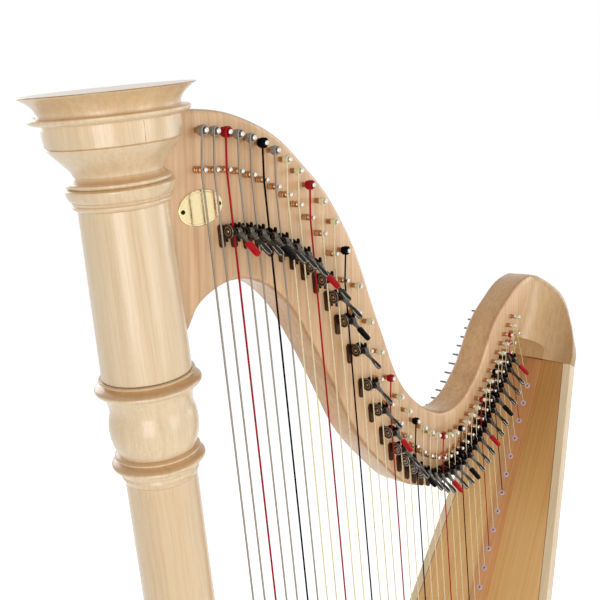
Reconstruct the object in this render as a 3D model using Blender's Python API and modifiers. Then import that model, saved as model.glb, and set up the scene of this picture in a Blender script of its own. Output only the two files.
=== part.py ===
"""A forty-string lever harp, built the way the real one is: a turned column, an
arched neck that carries the tuning pins, bridge pins and lever brackets, a
shoulder block, a round-backed body with its soundboard, a base on four feet,
and thirty-six sharping levers that each turn on their own axle.

Lengths are in millimetres and MM turns them into Blender's metres. Two frames
are used. In the harp's frame x runs from the column's axis towards the body, y
from the string plane towards the far side, and z from the column's top rim, so
it is negative. In the board's frame s runs down the soundboard from the last
eyelet, n runs behind it, and y is the same as above.
"""
import math

import bmesh
import bpy
import numpy as np
from mathutils import Matrix, Vector

MM = 0.001
GAP = 0.3

OVERALL_HEIGHT = 1520.0
COLUMN_TO_CENTRE = 336.4
COLUMN_Y = 34.0

BASE_THICKNESS = 45.0
FOOT_HEIGHT = 35.0
BASE_TOP = FOOT_HEIGHT + BASE_THICKNESS - OVERALL_HEIGHT

NECK_NEAR = 13.0
NECK_FAR = 55.0
NECK_EDGE_RADIUS = 6.0

BOARD_SLOPE = math.radians(58.0)
BOARD_X = 639.8
BOARD_Z = -491.8
BOARD_TOP_S = -42.0
BOARD_BOTTOM_S = 1108.0
BOARD_THICKNESS = 4.0
BINDING_WIDTH = 4.5

RIB_HALF_WIDTH = 10.0
RIB_TOP_S = -30.0
RIB_BOTTOM_S = 1085.0
STRIP_HALF_WIDTH = 12.5
STRIP_TOP_S = -41.0
STRIP_BOTTOM_S = 1100.0
STRIP_FRONT = -2.8

SHELL_THICKNESS = 5.0
SHELL_STRAIGHT_EDGE = 15.0
SHELL_HALF_ANGLE = math.radians(64.0)
SHELL_BOTTOM_S = 1135.0
# Sound holes in the back: how far down the board, half their length and half their width.
SOUND_HOLES = [(160.0, 42.0, 17.0), (415.0, 55.0, 24.0), (705.0, 60.0, 30.0), (930.0, 46.0, 34.0)]
BULKHEAD_PLACES = {"upper": 270.0, "middle": 560.0, "lower": 850.0}
BULKHEAD_WIDTH = 8.0
BULKHEAD_DEPTH = 12.0
BULKHEAD_CLEARANCE = 1.2

STRING_COUNT = 40
FIRST_LEVER = 3
LAST_LEVER = 38
BASS_STRING_RADIUS = 0.9
TREBLE_STRING_RADIUS = 0.5
# A semitone shortens a string by 1 - 2 ** (-1 / 12) of it. The levers of the long
# strings sit a little closer to the bridge pin than that, as measured.
SEMITONE = 0.0561
LONG_STRING_EASING = 1.0 / 5520.0
AXLE_DROP = 3.0

PIN_RADIUS = 2.5
PIN_NEAR = -2.9
PIN_FAR = 78.3
BRIDGE_TIP_RADIUS = 2.0
BRIDGE_RADIUS_AT_STRING = 2.3
BRIDGE_ROOT_RADIUS = 3.0

AXLE_Y = -6.0
CAM_RADIUS = 4.0
CAM_HALF_WIDTH = 2.4
LAST_LONG_HANDLE = 12
LONG_HANDLE = 32.0
SHORT_HANDLE = 27.5
GRIP_START = 13.0
GRIP_HALF_WIDTH = 3.6
GRIP_HALF_THICKNESS = 1.5
ARM_HALF_WIDTH = 1.8
ARM_HALF_THICKNESS = 1.2
HANDLE_ANGLE = math.radians(41.0)

BRACKET_HALF_WIDTH = 4.3
BRACKET_SLOT = 2.9
BRACKET_BELOW = 10.5
BRACKET_ABOVE = 4.8
BRACKET_FRONT = AXLE_Y - 3.6
FRET_FRONT = 1.6

ROUND_STEPS = 24

# Where each row of pins lies on the neck's near face: string number: (x, z).
TUNING_PIN_KEYS = {
    1: (76.6, -45.9), 4: (120.8, -55.3), 7: (167.8, -77.5), 10: (214.3, -120.5),
    12: (247.1, -166.2), 13: (261.4, -201.2), 14: (277.7, -245.6), 15: (292.5, -292.1),
    16: (306.5, -332.7), 17: (323.3, -371.0), 19: (351.7, -423.2), 22: (395.2, -468.3),
    26: (450.0, -490.4), 30: (504.4, -475.6), 35: (564.5, -430.6), 40: (620.2, -381.0),
}
BRIDGE_PIN_KEYS = {
    1: (70.2, -81.2), 4: (116.3, -89.8), 7: (163.9, -113.2), 10: (209.5, -153.8),
    12: (242.2, -200.3), 13: (255.5, -233.5), 14: (271.7, -275.5), 15: (287.1, -325.2),
    16: (301.5, -364.5), 17: (317.9, -402.2), 19: (347.0, -454.8), 22: (389.7, -497.9),
    26: (445.3, -516.9), 30: (499.6, -501.5), 35: (559.5, -456.3), 40: (617.7, -404.6),
}

# The turned pieces, as (radius, depth below the column's top rim).
CAPITAL_LIP = [(76.4, 0.0), (77.0, 0.5), (76.2, 1.3)]
CAPITAL_BEAD = [(62.0, 18.3), (65.8, 18.2), (69.2, 19.0), (70.5, 20.7), (69.9, 22.6), (67.4, 24.3),
                (64.0, 25.2), (61.0, 25.5)]
CAPITAL_BAND = [(60.3, 26.2), (60.5, 33.0), (59.4, 44.5), (58.2, 45.2), (58.8, 46.0)]
CAPITAL_BELL = [(56.0, 49.8), (52.3, 54.2), (48.3, 58.6), (44.6, 62.7), (41.6, 66.5), (39.9, 69.7),
                (39.5, 71.7)]
COLLAR_RINGS = [(41.0, 74.2), (43.6, 76.6), (46.0, 77.3), (46.6, 78.8), (45.8, 80.5), (43.8, 81.4),
                (47.2, 82.0), (48.3, 83.2), (48.1, 86.0), (47.1, 89.4), (45.5, 92.5), (44.8, 93.2),
                (45.2, 94.0)]

# The neck's edges from the column to the shoulder block, as (x, z).
NECK_TOP = [
    (20, -23), (75, -26), (115, -33), (147, -45), (187, -68), (218, -98), (248, -131),
    (282, -186), (325, -306), (365, -401), (402, -439), (458, -464), (490, -459),
    (525, -437), (586, -372), (617, -355), (649, -341), (691, -338), (715, -342),
]
NECK_BOTTOM = [
    (650, -408), (620, -430), (586, -456), (555, -488), (519, -520), (476, -541),
    (446, -548), (417, -552), (381, -540), (350, -522), (313, -483), (266, -421),
    (237, -357), (204, -288), (177, -241), (150, -214), (120, -199), (99, -196),
    (76, -200), (56, -209), (40, -228), (20, -246),
]

# The shoulder block: where it meets the neck, its outline square to the board as
# (y, s), and the notch that leaves room for the shortest strings, as (y, s).
BLOCK_NECK_DEPTH = -42.0
BLOCK_ARCH = [(-55.5, -55), (-51, -80), (-40, -110), (-22, -140), (2, -157), (28, -163), (55, -164)]
BLOCK_SIDE = [(-154, -42), (-160, -20), (-163, 0), (-162, 20), (-150, 36)]
NOTCH_CENTRE_Y = 3.0
NOTCH_HALF_WIDTH = 26.0
NOTCH_HEIGHT = 22.0

PLATE_X = 70.5
PLATE_Z = -117.0
PLATE_HALF_LENGTH = 27.0
PLATE_HALF_HEIGHT = 17.0
PLATE_THICKNESS = 1.5
SCREW_SPREAD = 22.5
SCREW_HOLE_RADIUS = 1.6
SCREW_SHANK_RADIUS = 1.2
SCREW_HEAD_HEIGHT = 1.4

# The base from above, as (x, y): narrow under the column, wide under the body.
BASE_FRONT = -60.0
BASE_BACK = 330.0
BASE_HALF_WIDTH = 205.0
BASE_SIDE = [(BASE_FRONT, 62), (-30, 92), (20, 140), (70, 188), (135, BASE_HALF_WIDTH),
             (215, 180), (285, 130), (BASE_BACK, 70)]
BASE_EDGE = 5.0
FEET = {"front_near": (-20.0, -60.0), "front_far": (-20.0, 60.0),
        "rear_near": (295.0, -75.0), "rear_far": (295.0, 75.0)}
FOOT_RADIUS = 18.0
FOOT_TOP_RADIUS = 22.0

COLUMN_FOOT_HEIGHT = 40.0

COLOURS = {
    "maple": ((0.72, 0.55, 0.36, 1), 0.38, 0.0),
    "spruce": ((0.66, 0.38, 0.14, 1), 0.34, 0.0),
    "pale_binding": ((0.86, 0.78, 0.62, 1), 0.40, 0.0),
    "nylon_and_steel": ((0.80, 0.76, 0.70, 1), 0.35, 0.3),
    "dark_bronze": ((0.06, 0.05, 0.045, 1), 0.35, 0.8),
    "red_grip": ((0.42, 0.02, 0.02, 1), 0.35, 0.0),
    "black_grip": ((0.02, 0.02, 0.02, 1), 0.35, 0.0),
    "brass": ((0.78, 0.60, 0.32, 1), 0.28, 1.0),
    "rubber": ((0.05, 0.05, 0.05, 1), 0.80, 0.0),
}


def place(x, y, z):
    """A point of the harp's frame, in metres in the world."""
    return Vector((x - COLUMN_TO_CENTRE, y, z + OVERALL_HEIGHT)) * MM


def on_board(y, s, n):
    """A point of the board's frame, in metres in the world."""
    x, z = board_xz(s, n)
    return place(x, y, z)


def board_xz(s, n):
    down = (-math.cos(BOARD_SLOPE), -math.sin(BOARD_SLOPE))
    back = (math.sin(BOARD_SLOPE), -math.cos(BOARD_SLOPE))
    return BOARD_X + s * down[0] + n * back[0], BOARD_Z + s * down[1] + n * back[1]


def through_keys(keys, wanted):
    """Smooth values between keyed ones: cubic steps with the keys' own slopes."""
    knots = np.array(sorted(keys), dtype=float)
    values = np.array([keys[int(k)] for k in knots], dtype=float)
    slopes = np.gradient(values, knots, axis=0)
    i = int(np.clip(np.searchsorted(knots, wanted, side="right") - 1, 0, len(knots) - 2))
    span = knots[i + 1] - knots[i]
    t = (wanted - knots[i]) / span
    a, b, da, db = values[i], values[i + 1], slopes[i] * span, slopes[i + 1] * span
    return tuple(a + t * da + t * t * (3 * (b - a) - 2 * da - db) + t ** 3 * (2 * (a - b) + da + db))


def smooth_line(points, per_span):
    """A smooth line through the points, with per_span steps between neighbours."""
    keys = dict(enumerate(points))
    count = (len(points) - 1) * per_span
    return [through_keys(keys, k / per_span) for k in range(count + 1)]


def half_width(s):
    """Half the soundboard's full width, measured over the binding."""
    return 61.5 + 0.136 * s - 2.5e-5 * s * s


def eyelet_s(string):
    steps = STRING_COUNT - string
    return 25.9 * steps + 0.048 * steps * steps


def string_radius(string):
    share = (string - 1) / (STRING_COUNT - 1)
    return BASS_STRING_RADIUS + share * (TREBLE_STRING_RADIUS - BASS_STRING_RADIUS)


def string_route(string):
    """Tuning pin, bridge pin and eyelet, as (x, z) in the string plane."""
    tuning_x, tuning_z = through_keys(TUNING_PIN_KEYS, string)
    bridge_x, bridge_z = through_keys(BRIDGE_PIN_KEYS, string)
    beside = BRIDGE_RADIUS_AT_STRING + GAP + string_radius(string)
    eyelet = board_xz(eyelet_s(string), -1.5)
    return (tuning_x - PIN_RADIUS + 0.5, tuning_z), (bridge_x - beside, bridge_z), eyelet


def axle_place(string):
    """The lever axle's (x, z), on the string's line under its bridge pin."""
    _, bridge, eyelet = string_route(string)
    length = bridge[1] - eyelet[1]
    drop = AXLE_DROP + SEMITONE * length * (1 - LONG_STRING_EASING * length)
    return bridge[0] + drop / length * (eyelet[0] - bridge[0]), bridge[1] - drop


def start_collections():
    for item in list(bpy.data.objects):
        bpy.data.objects.remove(item, do_unlink=True)
    made = []
    for name in ("lever_harp", "cutters"):
        collection = bpy.data.collections.new(name)
        bpy.context.scene.collection.children.link(collection)
        made.append(collection)
    return made


HARP, CUTTERS = start_collections()


def material(name):
    found = bpy.data.materials.get(name)
    if found:
        return found
    colour, roughness, metallic = COLOURS[name]
    made = bpy.data.materials.new(name)
    made.use_nodes = True
    shader = made.node_tree.nodes["Principled BSDF"]
    shader.inputs["Base Color"].default_value = colour
    shader.inputs["Roughness"].default_value = roughness
    shader.inputs["Metallic"].default_value = metallic
    return made


def add(name, mesh, finish=None):
    """Link a mesh as a part of the harp, or as a cutter when it has no finish."""
    thing = bpy.data.objects.new(name, mesh)
    if finish:
        HARP.objects.link(thing)
        mesh.materials.clear()
        mesh.materials.append(material(finish))
    else:
        CUTTERS.objects.link(thing)
        thing.display_type = "WIRE"
        thing.hide_render = True
    return thing


def mesh_of(name, build):
    """A mesh that the function build fills through bmesh."""
    bm = bmesh.new()
    build(bm)
    bmesh.ops.recalc_face_normals(bm, faces=bm.faces)
    mesh = bpy.data.meshes.new(name)
    bm.to_mesh(mesh)
    bm.free()
    return mesh


def shade(thing, angle=35.0):
    thing.data.shade_smooth()
    thing.data.set_sharp_from_angle(angle=math.radians(angle))


def boolean(thing, cutter, operation="DIFFERENCE", use_self=False):
    step = thing.modifiers.new(operation.lower(), "BOOLEAN")
    step.operation = operation
    step.object = cutter
    step.use_self = use_self
    step.solver = "EXACT"


def rod(bm, start, end, radius, segments, end_radius=None):
    """A closed cylinder or cone between two world points; the radii are in mm."""
    along = end - start
    turn = Vector((0, 0, 1)).rotation_difference(along).to_matrix().to_4x4()
    bmesh.ops.create_cone(
        bm, cap_ends=True, segments=segments, radius1=radius * MM,
        radius2=(radius if end_radius is None else end_radius) * MM, depth=along.length,
        matrix=Matrix.Translation((start + end) / 2) @ turn)


def block(bm, low, high):
    """A box between two corners given in the harp's frame."""
    a, b = place(*low), place(*high)
    size = b - a
    matrix = Matrix.Translation((a + b) / 2) @ Matrix.Diagonal((*size, 1.0))
    bmesh.ops.create_cube(bm, size=1.0, matrix=matrix)


def prism(bm, outline, offset):
    """Extrude a closed outline of world points by a vector."""
    ring = [bm.verts.new(point) for point in outline]
    face = bm.faces.new(ring)
    pulled = bmesh.ops.extrude_face_region(bm, geom=[face])
    moved = [item for item in pulled["geom"] if isinstance(item, bmesh.types.BMVert)]
    bmesh.ops.translate(bm, verts=moved, vec=offset)


def board_prism(bm, outline, direction, start, end):
    """Extrude an outline of the board's frame along s, n or y: it gives the two others."""
    if direction == "n":
        near = [on_board(y, s, start) for y, s in outline]
        offset = on_board(0, 0, end) - on_board(0, 0, start)
    elif direction == "s":
        near = [on_board(y, start, n) for y, n in outline]
        offset = on_board(0, end, 0) - on_board(0, start, 0)
    else:
        near = [on_board(start, s, n) for s, n in outline]
        offset = Vector((0, end - start, 0)) * MM
    prism(bm, near, offset)


def bowed(start, end, bow, count):
    """Points from start to end, bulging to the outer side by bow; start is left out."""
    (r0, d0), (r1, d1) = start, end
    points = []
    for k in range(1, count + 1):
        t = k / count
        points.append((r0 + t * (r1 - r0) + 4 * bow * t * (1 - t), d0 + t * (d1 - d0)))
    return points


def turned(name, profile, finish, grow=0.0):
    """A turned piece on the column's axis, from (radius, depth below the rim)."""
    bm = bmesh.new()
    ends = [(0.0, profile[0][1]), (0.0, profile[-1][1])]
    line = [ends[0]] + [(r + grow, d) for r, d in profile] + [ends[1]]
    verts = [bm.verts.new((r * MM, 0, -d * MM)) for r, d in line]
    for a, b in zip(verts, verts[1:]):
        bm.edges.new((a, b))
    mesh = bpy.data.meshes.new(name)
    bm.to_mesh(mesh)
    bm.free()
    thing = add(name, mesh, finish)
    thing.location = place(0, COLUMN_Y, 0)
    spin = thing.modifiers.new("turned", "SCREW")
    spin.steps = ROUND_STEPS
    spin.render_steps = ROUND_STEPS
    spin.use_merge_vertices = True
    spin.merge_threshold = 0.00001
    spin.use_smooth_shade = True
    return thing


def capital_profile():
    cove = bowed(CAPITAL_LIP[-1], (62.0, 17.4), -3.6, 5)
    return CAPITAL_LIP + cove + CAPITAL_BEAD + CAPITAL_BAND + CAPITAL_BELL


def collar_profile():
    radius, depth = CAPITAL_BELL[-1]
    return [(radius, depth + GAP)] + COLLAR_RINGS + bowed((42.6, 95.4), (41.0, 101.4), 2.4, 3)


def knop_profile():
    profile = bowed((43.2, 258.0 + GAP), (43.2, 262.4), 2.1, 2)
    profile += bowed((43.6, 263.6), (43.6, 274.0), 6.3, 4)
    profile += bowed((43.0, 275.0), (39.3, 293.0), -1.2, 4)
    profile += bowed((39.3, 293.0), (37.2, 332.0), 3.8, 5)
    profile += bowed((38.6, 333.0), (38.6, 338.0), 1.9, 2)
    profile += bowed((39.0, 339.0), (39.0, 349.0), 5.2, 4)
    profile += [(37.8, 352.0), (36.6, 353.5), (37.0, 356.5), (35.6, 358.0), (34.6, 362.0)]
    return profile


def foot_profile():
    top = -BASE_TOP - COLUMN_FOOT_HEIGHT
    profile = [(35.4, top), (37.6, top + 2.0)]
    profile += bowed((37.6, top + 2.0), (37.0, top + 9.0), 1.8, 2)
    profile += bowed((36.4, top + 10.0), (41.4, top + 24.0), -1.6, 3)
    profile += bowed((42.0, top + 25.0), (44.0, top + COLUMN_FOOT_HEIGHT - GAP), 2.6, 4)
    return profile


def upper_shaft_profile():
    return [(39.9, 101.4 + GAP), (40.8, 170.0), (42.0, 258.0)]


def lower_shaft_profile():
    return [(34.4, 362.0 + GAP), (35.0, 900.0), (34.7, -BASE_TOP - COLUMN_FOOT_HEIGHT - GAP)]


def build_column():
    turned("capital", capital_profile(), "maple")
    turned("column_collar", collar_profile(), "maple")
    turned("column_upper", upper_shaft_profile(), "maple")
    turned("column_knop", knop_profile(), "maple")
    turned("column_lower", lower_shaft_profile(), "maple")
    turned("column_foot", foot_profile(), "maple")


def neck_blank(name, finish):
    """The neck's outline as a flat curve with rounded edges, made into a mesh."""
    outline = smooth_line(NECK_TOP, 2) + smooth_line(NECK_BOTTOM, 2)
    curve = bpy.data.curves.new(name + "_outline", "CURVE")
    curve.dimensions = "2D"
    curve.fill_mode = "BOTH"
    curve.extrude = ((NECK_FAR - NECK_NEAR) / 2 - NECK_EDGE_RADIUS) * MM
    curve.bevel_depth = NECK_EDGE_RADIUS * MM
    curve.bevel_resolution = 0
    curve.offset = -NECK_EDGE_RADIUS * MM
    spline = curve.splines.new("POLY")
    spline.points.add(len(outline) - 1)
    for point, (x, z) in zip(spline.points, outline):
        point.co = (x * MM, z * MM, 0, 1)
    spline.use_cyclic_u = True
    holder = bpy.data.objects.new(name + "_curve", curve)
    CUTTERS.objects.link(holder)
    holder.rotation_euler = (math.pi / 2, 0, 0)
    holder.location = place(0, (NECK_NEAR + NECK_FAR) / 2, 0)
    return solid_from_curve(holder, name, finish)


def solid_from_curve(holder, name, finish):
    """A curve object's evaluated mesh as an object of its own, with welded caps."""
    bpy.context.view_layer.update()
    graph = bpy.context.evaluated_depsgraph_get()
    mesh = bpy.data.meshes.new_from_object(holder.evaluated_get(graph))
    mesh.transform(holder.matrix_world)
    bm = bmesh.new()
    bm.from_mesh(mesh)
    bmesh.ops.remove_doubles(bm, verts=bm.verts, dist=0.00001)
    bmesh.ops.recalc_face_normals(bm, faces=bm.faces)
    bm.to_mesh(mesh)
    bm.free()
    mesh.name = name
    bpy.data.objects.remove(holder, do_unlink=True)
    return add(name, mesh, finish)


def column_cutter():
    """What the column takes out of the neck's end: its own turned form, a gap larger."""
    profile = [(77.0, -6.0)] + capital_profile()[1:]
    profile += collar_profile() + upper_shaft_profile()
    return turned("column_room", profile, None, grow=GAP)


def block_plane_cutter():
    """All that lies behind the plane where the neck meets the shoulder block."""
    limit = BLOCK_NECK_DEPTH - GAP
    outline = [(-240.0, limit), (-240.0, limit + 90.0), (60.0, limit + 90.0), (60.0, limit)]

    def build(bm):
        board_prism(bm, outline, "y", 0.0, 70.0)
    return add("block_plane", mesh_of("block_plane", build))


def pin_hole_cutter():
    def build(bm):
        for string in range(1, STRING_COUNT + 1):
            x, z = through_keys(TUNING_PIN_KEYS, string)
            rod(bm, place(x, NECK_NEAR - 3, z), place(x, NECK_FAR + 3, z), PIN_RADIUS + 0.5, 6)
        for side in (-1, 1):
            x = PLATE_X + side * SCREW_SPREAD
            rod(bm, place(x, NECK_NEAR - 3, PLATE_Z), place(x, NECK_NEAR + 9, PLATE_Z), SCREW_HOLE_RADIUS, 8)
    return add("pin_holes", mesh_of("pin_holes", build))


def bridge_pins():
    """Forty bridge pins, each thinner at its tip, beside the string."""
    def build(bm):
        for string in range(1, STRING_COUNT + 1):
            x, z = through_keys(BRIDGE_PIN_KEYS, string)
            rod(bm, place(x, -3.0, z), place(x, NECK_NEAR + 1, z), BRIDGE_TIP_RADIUS, 6,
                end_radius=BRIDGE_ROOT_RADIUS)
    return add("bridge_pins", mesh_of("bridge_pins", build))


def lever_brackets():
    """Each lever's bracket: a forked block on the neck that holds the axle."""
    def build(bm):
        for string in range(FIRST_LEVER, LAST_LEVER + 1):
            x, z = axle_place(string)
            block(bm, (x - BRACKET_HALF_WIDTH, BRACKET_FRONT, z - BRACKET_BELOW),
                  (x + BRACKET_HALF_WIDTH, NECK_NEAR + 1.0, z + BRACKET_ABOVE))

    def cut(bm):
        for string in range(FIRST_LEVER, LAST_LEVER + 1):
            x, z = axle_place(string)
            block(bm, (x - BRACKET_SLOT, BRACKET_FRONT - 2.0, z - BRACKET_BELOW - 2.0),
                  (x + BRACKET_SLOT, FRET_FRONT, z + BRACKET_ABOVE + 2.0))
    forks = add("lever_brackets", mesh_of("lever_brackets", build))
    boolean(forks, add("bracket_slots", mesh_of("bracket_slots", cut)))
    return forks


def build_neck():
    neck = neck_blank("neck", "maple")
    boolean(neck, column_cutter())
    boolean(neck, block_plane_cutter())
    boolean(neck, pin_hole_cutter())
    boolean(neck, bridge_pins(), "UNION")
    boolean(neck, lever_brackets(), "UNION")
    weld = neck.modifiers.new("weld", "WELD")
    weld.merge_threshold = 0.00001


def arch_outline():
    """The shoulder block seen square to the soundboard, as (y, s)."""
    width = half_width(BOARD_TOP_S)
    far_side = [(width - 1.0, -60.0), (width, BOARD_TOP_S)]
    return [(-width, BOARD_TOP_S)] + smooth_line(BLOCK_ARCH, 2) + far_side


def block_section():
    """The shoulder block seen along the soundboard, as (y, n): a cove before the
    board and a round back behind it."""
    width = half_width(BOARD_TOP_S)
    reach = width + NECK_NEAR
    section = []
    steps = 8
    for k in range(steps + 1):
        t = k / steps * math.pi / 2
        section.append((-width + reach * math.cos(t), BLOCK_NECK_DEPTH * (1 - math.sin(t))))
    section += back_arc(BOARD_TOP_S, 0.0, 12)
    section += [(width, 0.0), (NECK_FAR, -30.0), (NECK_FAR, BLOCK_NECK_DEPTH)]
    return section


def back_arc(s, inset, steps):
    """The body's round back at s, as (y, n), drawn in by inset all over."""
    radius = half_width(s) / math.sin(SHELL_HALF_ANGLE)
    centre = SHELL_STRAIGHT_EDGE - radius * math.cos(SHELL_HALF_ANGLE)
    points = []
    for k in range(steps + 1):
        angle = -SHELL_HALF_ANGLE + 2 * SHELL_HALF_ANGLE * k / steps
        points.append(((radius - inset) * math.sin(angle), centre + (radius - inset) * math.cos(angle)))
    return points


def block_side():
    """The shoulder block seen from the side, as (s, n)."""
    back = back_arc(BOARD_TOP_S, 0.0, 2)[1][1] + 1.0
    return [(BOARD_TOP_S, back), (BOARD_TOP_S, BLOCK_NECK_DEPTH)] + smooth_line(BLOCK_SIDE, 2)


def block_notch():
    """The room round the shortest strings, as (y, s): half an ellipse, open below."""
    steps = 10
    outline = [(NOTCH_CENTRE_Y - NOTCH_HALF_WIDTH, BOARD_TOP_S + 10.0)]
    for k in range(steps + 1):
        angle = math.pi * k / steps
        outline.append((NOTCH_CENTRE_Y - NOTCH_HALF_WIDTH * math.cos(angle),
                        BOARD_TOP_S - NOTCH_HEIGHT * math.sin(angle)))
    return outline + [(NOTCH_CENTRE_Y + NOTCH_HALF_WIDTH, BOARD_TOP_S + 10.0)]


def build_shoulder_block():
    front = BLOCK_NECK_DEPTH - 10.0
    outline = mesh_of("shoulder_block", lambda bm: board_prism(bm, arch_outline(), "n", front, 70.0))
    shoulder = add("shoulder_block", outline, "maple")
    section = mesh_of("block_section", lambda bm: board_prism(bm, block_section(), "s", -30.0, -180.0))
    side = mesh_of("block_side", lambda bm: board_prism(bm, block_side(), "y", -75.0, 75.0))
    boolean(shoulder, add("block_section", section), "INTERSECT")
    boolean(shoulder, add("block_side", side), "INTERSECT")
    notch = mesh_of("block_notch", lambda bm: board_prism(bm, block_notch(), "n", front, 0.0))
    boolean(shoulder, add("block_notch", notch))


def shell_surface(bm, places, inset, steps):
    """The body's outer surface between the given places down the board, drawn in
    by inset: a loft between D-shaped sections of unlike width."""
    rows = []
    for s in places:
        width = half_width(s) - inset
        start = BOARD_THICKNESS + GAP
        section = [(-width, start)] + back_arc(s, inset, steps) + [(width, start)]
        rows.append([bm.verts.new(on_board(y, s, n)) for y, n in section])
    for above, below in zip(rows, rows[1:]):
        for k in range(len(above) - 1):
            bm.faces.new((above[k], above[k + 1], below[k + 1], below[k]))


def hollow(name, places, inset, thickness, finish, steps):
    """A wall of the given thickness inside that surface."""
    bm = bmesh.new()
    shell_surface(bm, places, inset, steps)
    mesh = bpy.data.meshes.new(name)
    bm.to_mesh(mesh)
    bm.free()
    thing = add(name, mesh, finish)
    wall = thing.modifiers.new("wall", "SOLIDIFY")
    wall.thickness = thickness * MM
    wall.offset = 1.0
    return thing


def build_body():
    top = BOARD_TOP_S + GAP
    places = [top + (SHELL_BOTTOM_S - top) * k / 10 for k in range(11)]
    shell = hollow("body_shell", places, 0.0, SHELL_THICKNESS, "maple", 14)

    def holes(bm):
        for s, half_length, half_wide in SOUND_HOLES:
            depth = back_arc(s, 0.0, 2)[1][1]
            outline = []
            for k in range(16):
                angle = 2 * math.pi * k / 16
                outline.append((half_wide * math.cos(angle), s + half_length * math.sin(angle)))
            board_prism(bm, outline, "n", 0.5 * depth, depth + 20.0)
    boolean(shell, add("sound_holes", mesh_of("sound_holes", holes)))
    ground = mesh_of("below_body", lambda bm: block(
        bm, (-150.0, -260.0, BASE_TOP - 200.0), (450.0, 260.0, BASE_TOP + GAP)))
    boolean(shell, add("below_body", ground))

    for name, s in BULKHEAD_PLACES.items():
        inset = SHELL_THICKNESS + BULKHEAD_CLEARANCE
        shade(hollow("body_rib_" + name, [s, s + BULKHEAD_WIDTH], inset, BULKHEAD_DEPTH, "spruce", 12))
    shade(shell)


def board_outline(inset, bottom):
    """The soundboard's outline, as (y, s), drawn in by inset at its two long edges."""
    top = BOARD_TOP_S + GAP
    steps = 10
    right = [(half_width(s) - inset, s) for s in
             [top + (bottom - top) * k / steps for k in range(steps + 1)]]
    return [(-y, s) for y, s in right] + right[::-1]


def oblong(half_wide, top, bottom):
    """A strip down the middle of the board, as (y, s)."""
    return [(-half_wide, top), (half_wide, top), (half_wide, bottom), (-half_wide, bottom)]


def build_soundboard():
    inset = BINDING_WIDTH + GAP
    board = mesh_of("soundboard", lambda bm: board_prism(
        bm, board_outline(inset, BOARD_BOTTOM_S), "n", 0.0, BOARD_THICKNESS))
    add("soundboard", board, "spruce")

    binding_bottom = BOARD_BOTTOM_S + GAP + BINDING_WIDTH
    binding = mesh_of("edge_binding", lambda bm: board_prism(
        bm, board_outline(0.0, binding_bottom), "n", 0.0, BOARD_THICKNESS))
    edge = add("edge_binding", binding, "pale_binding")

    def room(bm):
        outline = board_outline(BINDING_WIDTH, BOARD_BOTTOM_S + GAP)
        top = BOARD_TOP_S - 20.0
        width = half_width(BOARD_TOP_S) - BINDING_WIDTH
        outline = [(-width, top)] + outline + [(width, top)]
        board_prism(bm, outline, "n", -5.0, BOARD_THICKNESS + 5.0)
    boolean(edge, add("board_room", mesh_of("board_room", room)))

    rib = mesh_of("inner_string_rib", lambda bm: board_prism(
        bm, oblong(RIB_HALF_WIDTH, RIB_TOP_S, RIB_BOTTOM_S), "n",
        BOARD_THICKNESS + GAP, BOARD_THICKNESS + 11.0))
    add("inner_string_rib", rib, "spruce")


def string_tube(string):
    """One string from its tuning pin, past its bridge pin, to its eyelet."""
    curve = bpy.data.curves.new("string", "CURVE")
    curve.dimensions = "3D"
    curve.bevel_depth = string_radius(string) * MM
    curve.bevel_resolution = 0
    curve.use_fill_caps = True
    spline = curve.splines.new("POLY")
    route = string_route(string)
    spline.points.add(len(route) - 1)
    for point, (x, z) in zip(spline.points, route):
        point.co = (*place(x, 0.0, z), 1)
    holder = bpy.data.objects.new("string_curve", curve)
    CUTTERS.objects.link(holder)
    return solid_from_curve(holder, "string_%02d" % string, None)


def build_strings():
    """All forty strings with their tuning pins, joined through the string strip."""
    strip = mesh_of("strings", lambda bm: board_prism(
        bm, oblong(STRIP_HALF_WIDTH, STRIP_TOP_S, STRIP_BOTTOM_S), "n", STRIP_FRONT, -GAP))
    strings = add("strings", strip, "nylon_and_steel")

    tubes = [string_tube(string) for string in range(1, STRING_COUNT + 1)]

    def pins(bm):
        for string in range(1, STRING_COUNT + 1):
            x, z = through_keys(TUNING_PIN_KEYS, string)
            rod(bm, place(x, PIN_NEAR, z), place(x, PIN_FAR, z), PIN_RADIUS, 6)
        for tube in tubes:
            bm.from_mesh(tube.data)
    joined = add("pins_and_strings", mesh_of("pins_and_strings", pins))
    for tube in tubes:
        bpy.data.objects.remove(tube, do_unlink=True)
    boolean(strings, joined, "UNION", use_self=True)


def build_base():
    bottom = BASE_TOP - BASE_THICKNESS
    side = smooth_line(BASE_SIDE, 2)
    outline = [place(x, y, bottom) for x, y in side + [(x, -y) for x, y in side[::-1]]]
    up = Vector((0, 0, BASE_THICKNESS * MM))
    base = add("base", mesh_of("base", lambda bm: prism(bm, outline, up)), "maple")
    edges = base.modifiers.new("rounded", "BEVEL")
    edges.width = BASE_EDGE * MM
    edges.segments = 2
    edges.limit_method = "ANGLE"
    edges.angle_limit = math.radians(60.0)

    for name, (x, y) in FEET.items():
        top = place(x, y, bottom - GAP)
        foot = mesh_of("foot_" + name, lambda bm: rod(
            bm, place(x, y, -OVERALL_HEIGHT), top, FOOT_RADIUS, 16, end_radius=FOOT_TOP_RADIUS))
        shade(add("foot_" + name, foot, "rubber"))


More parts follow.
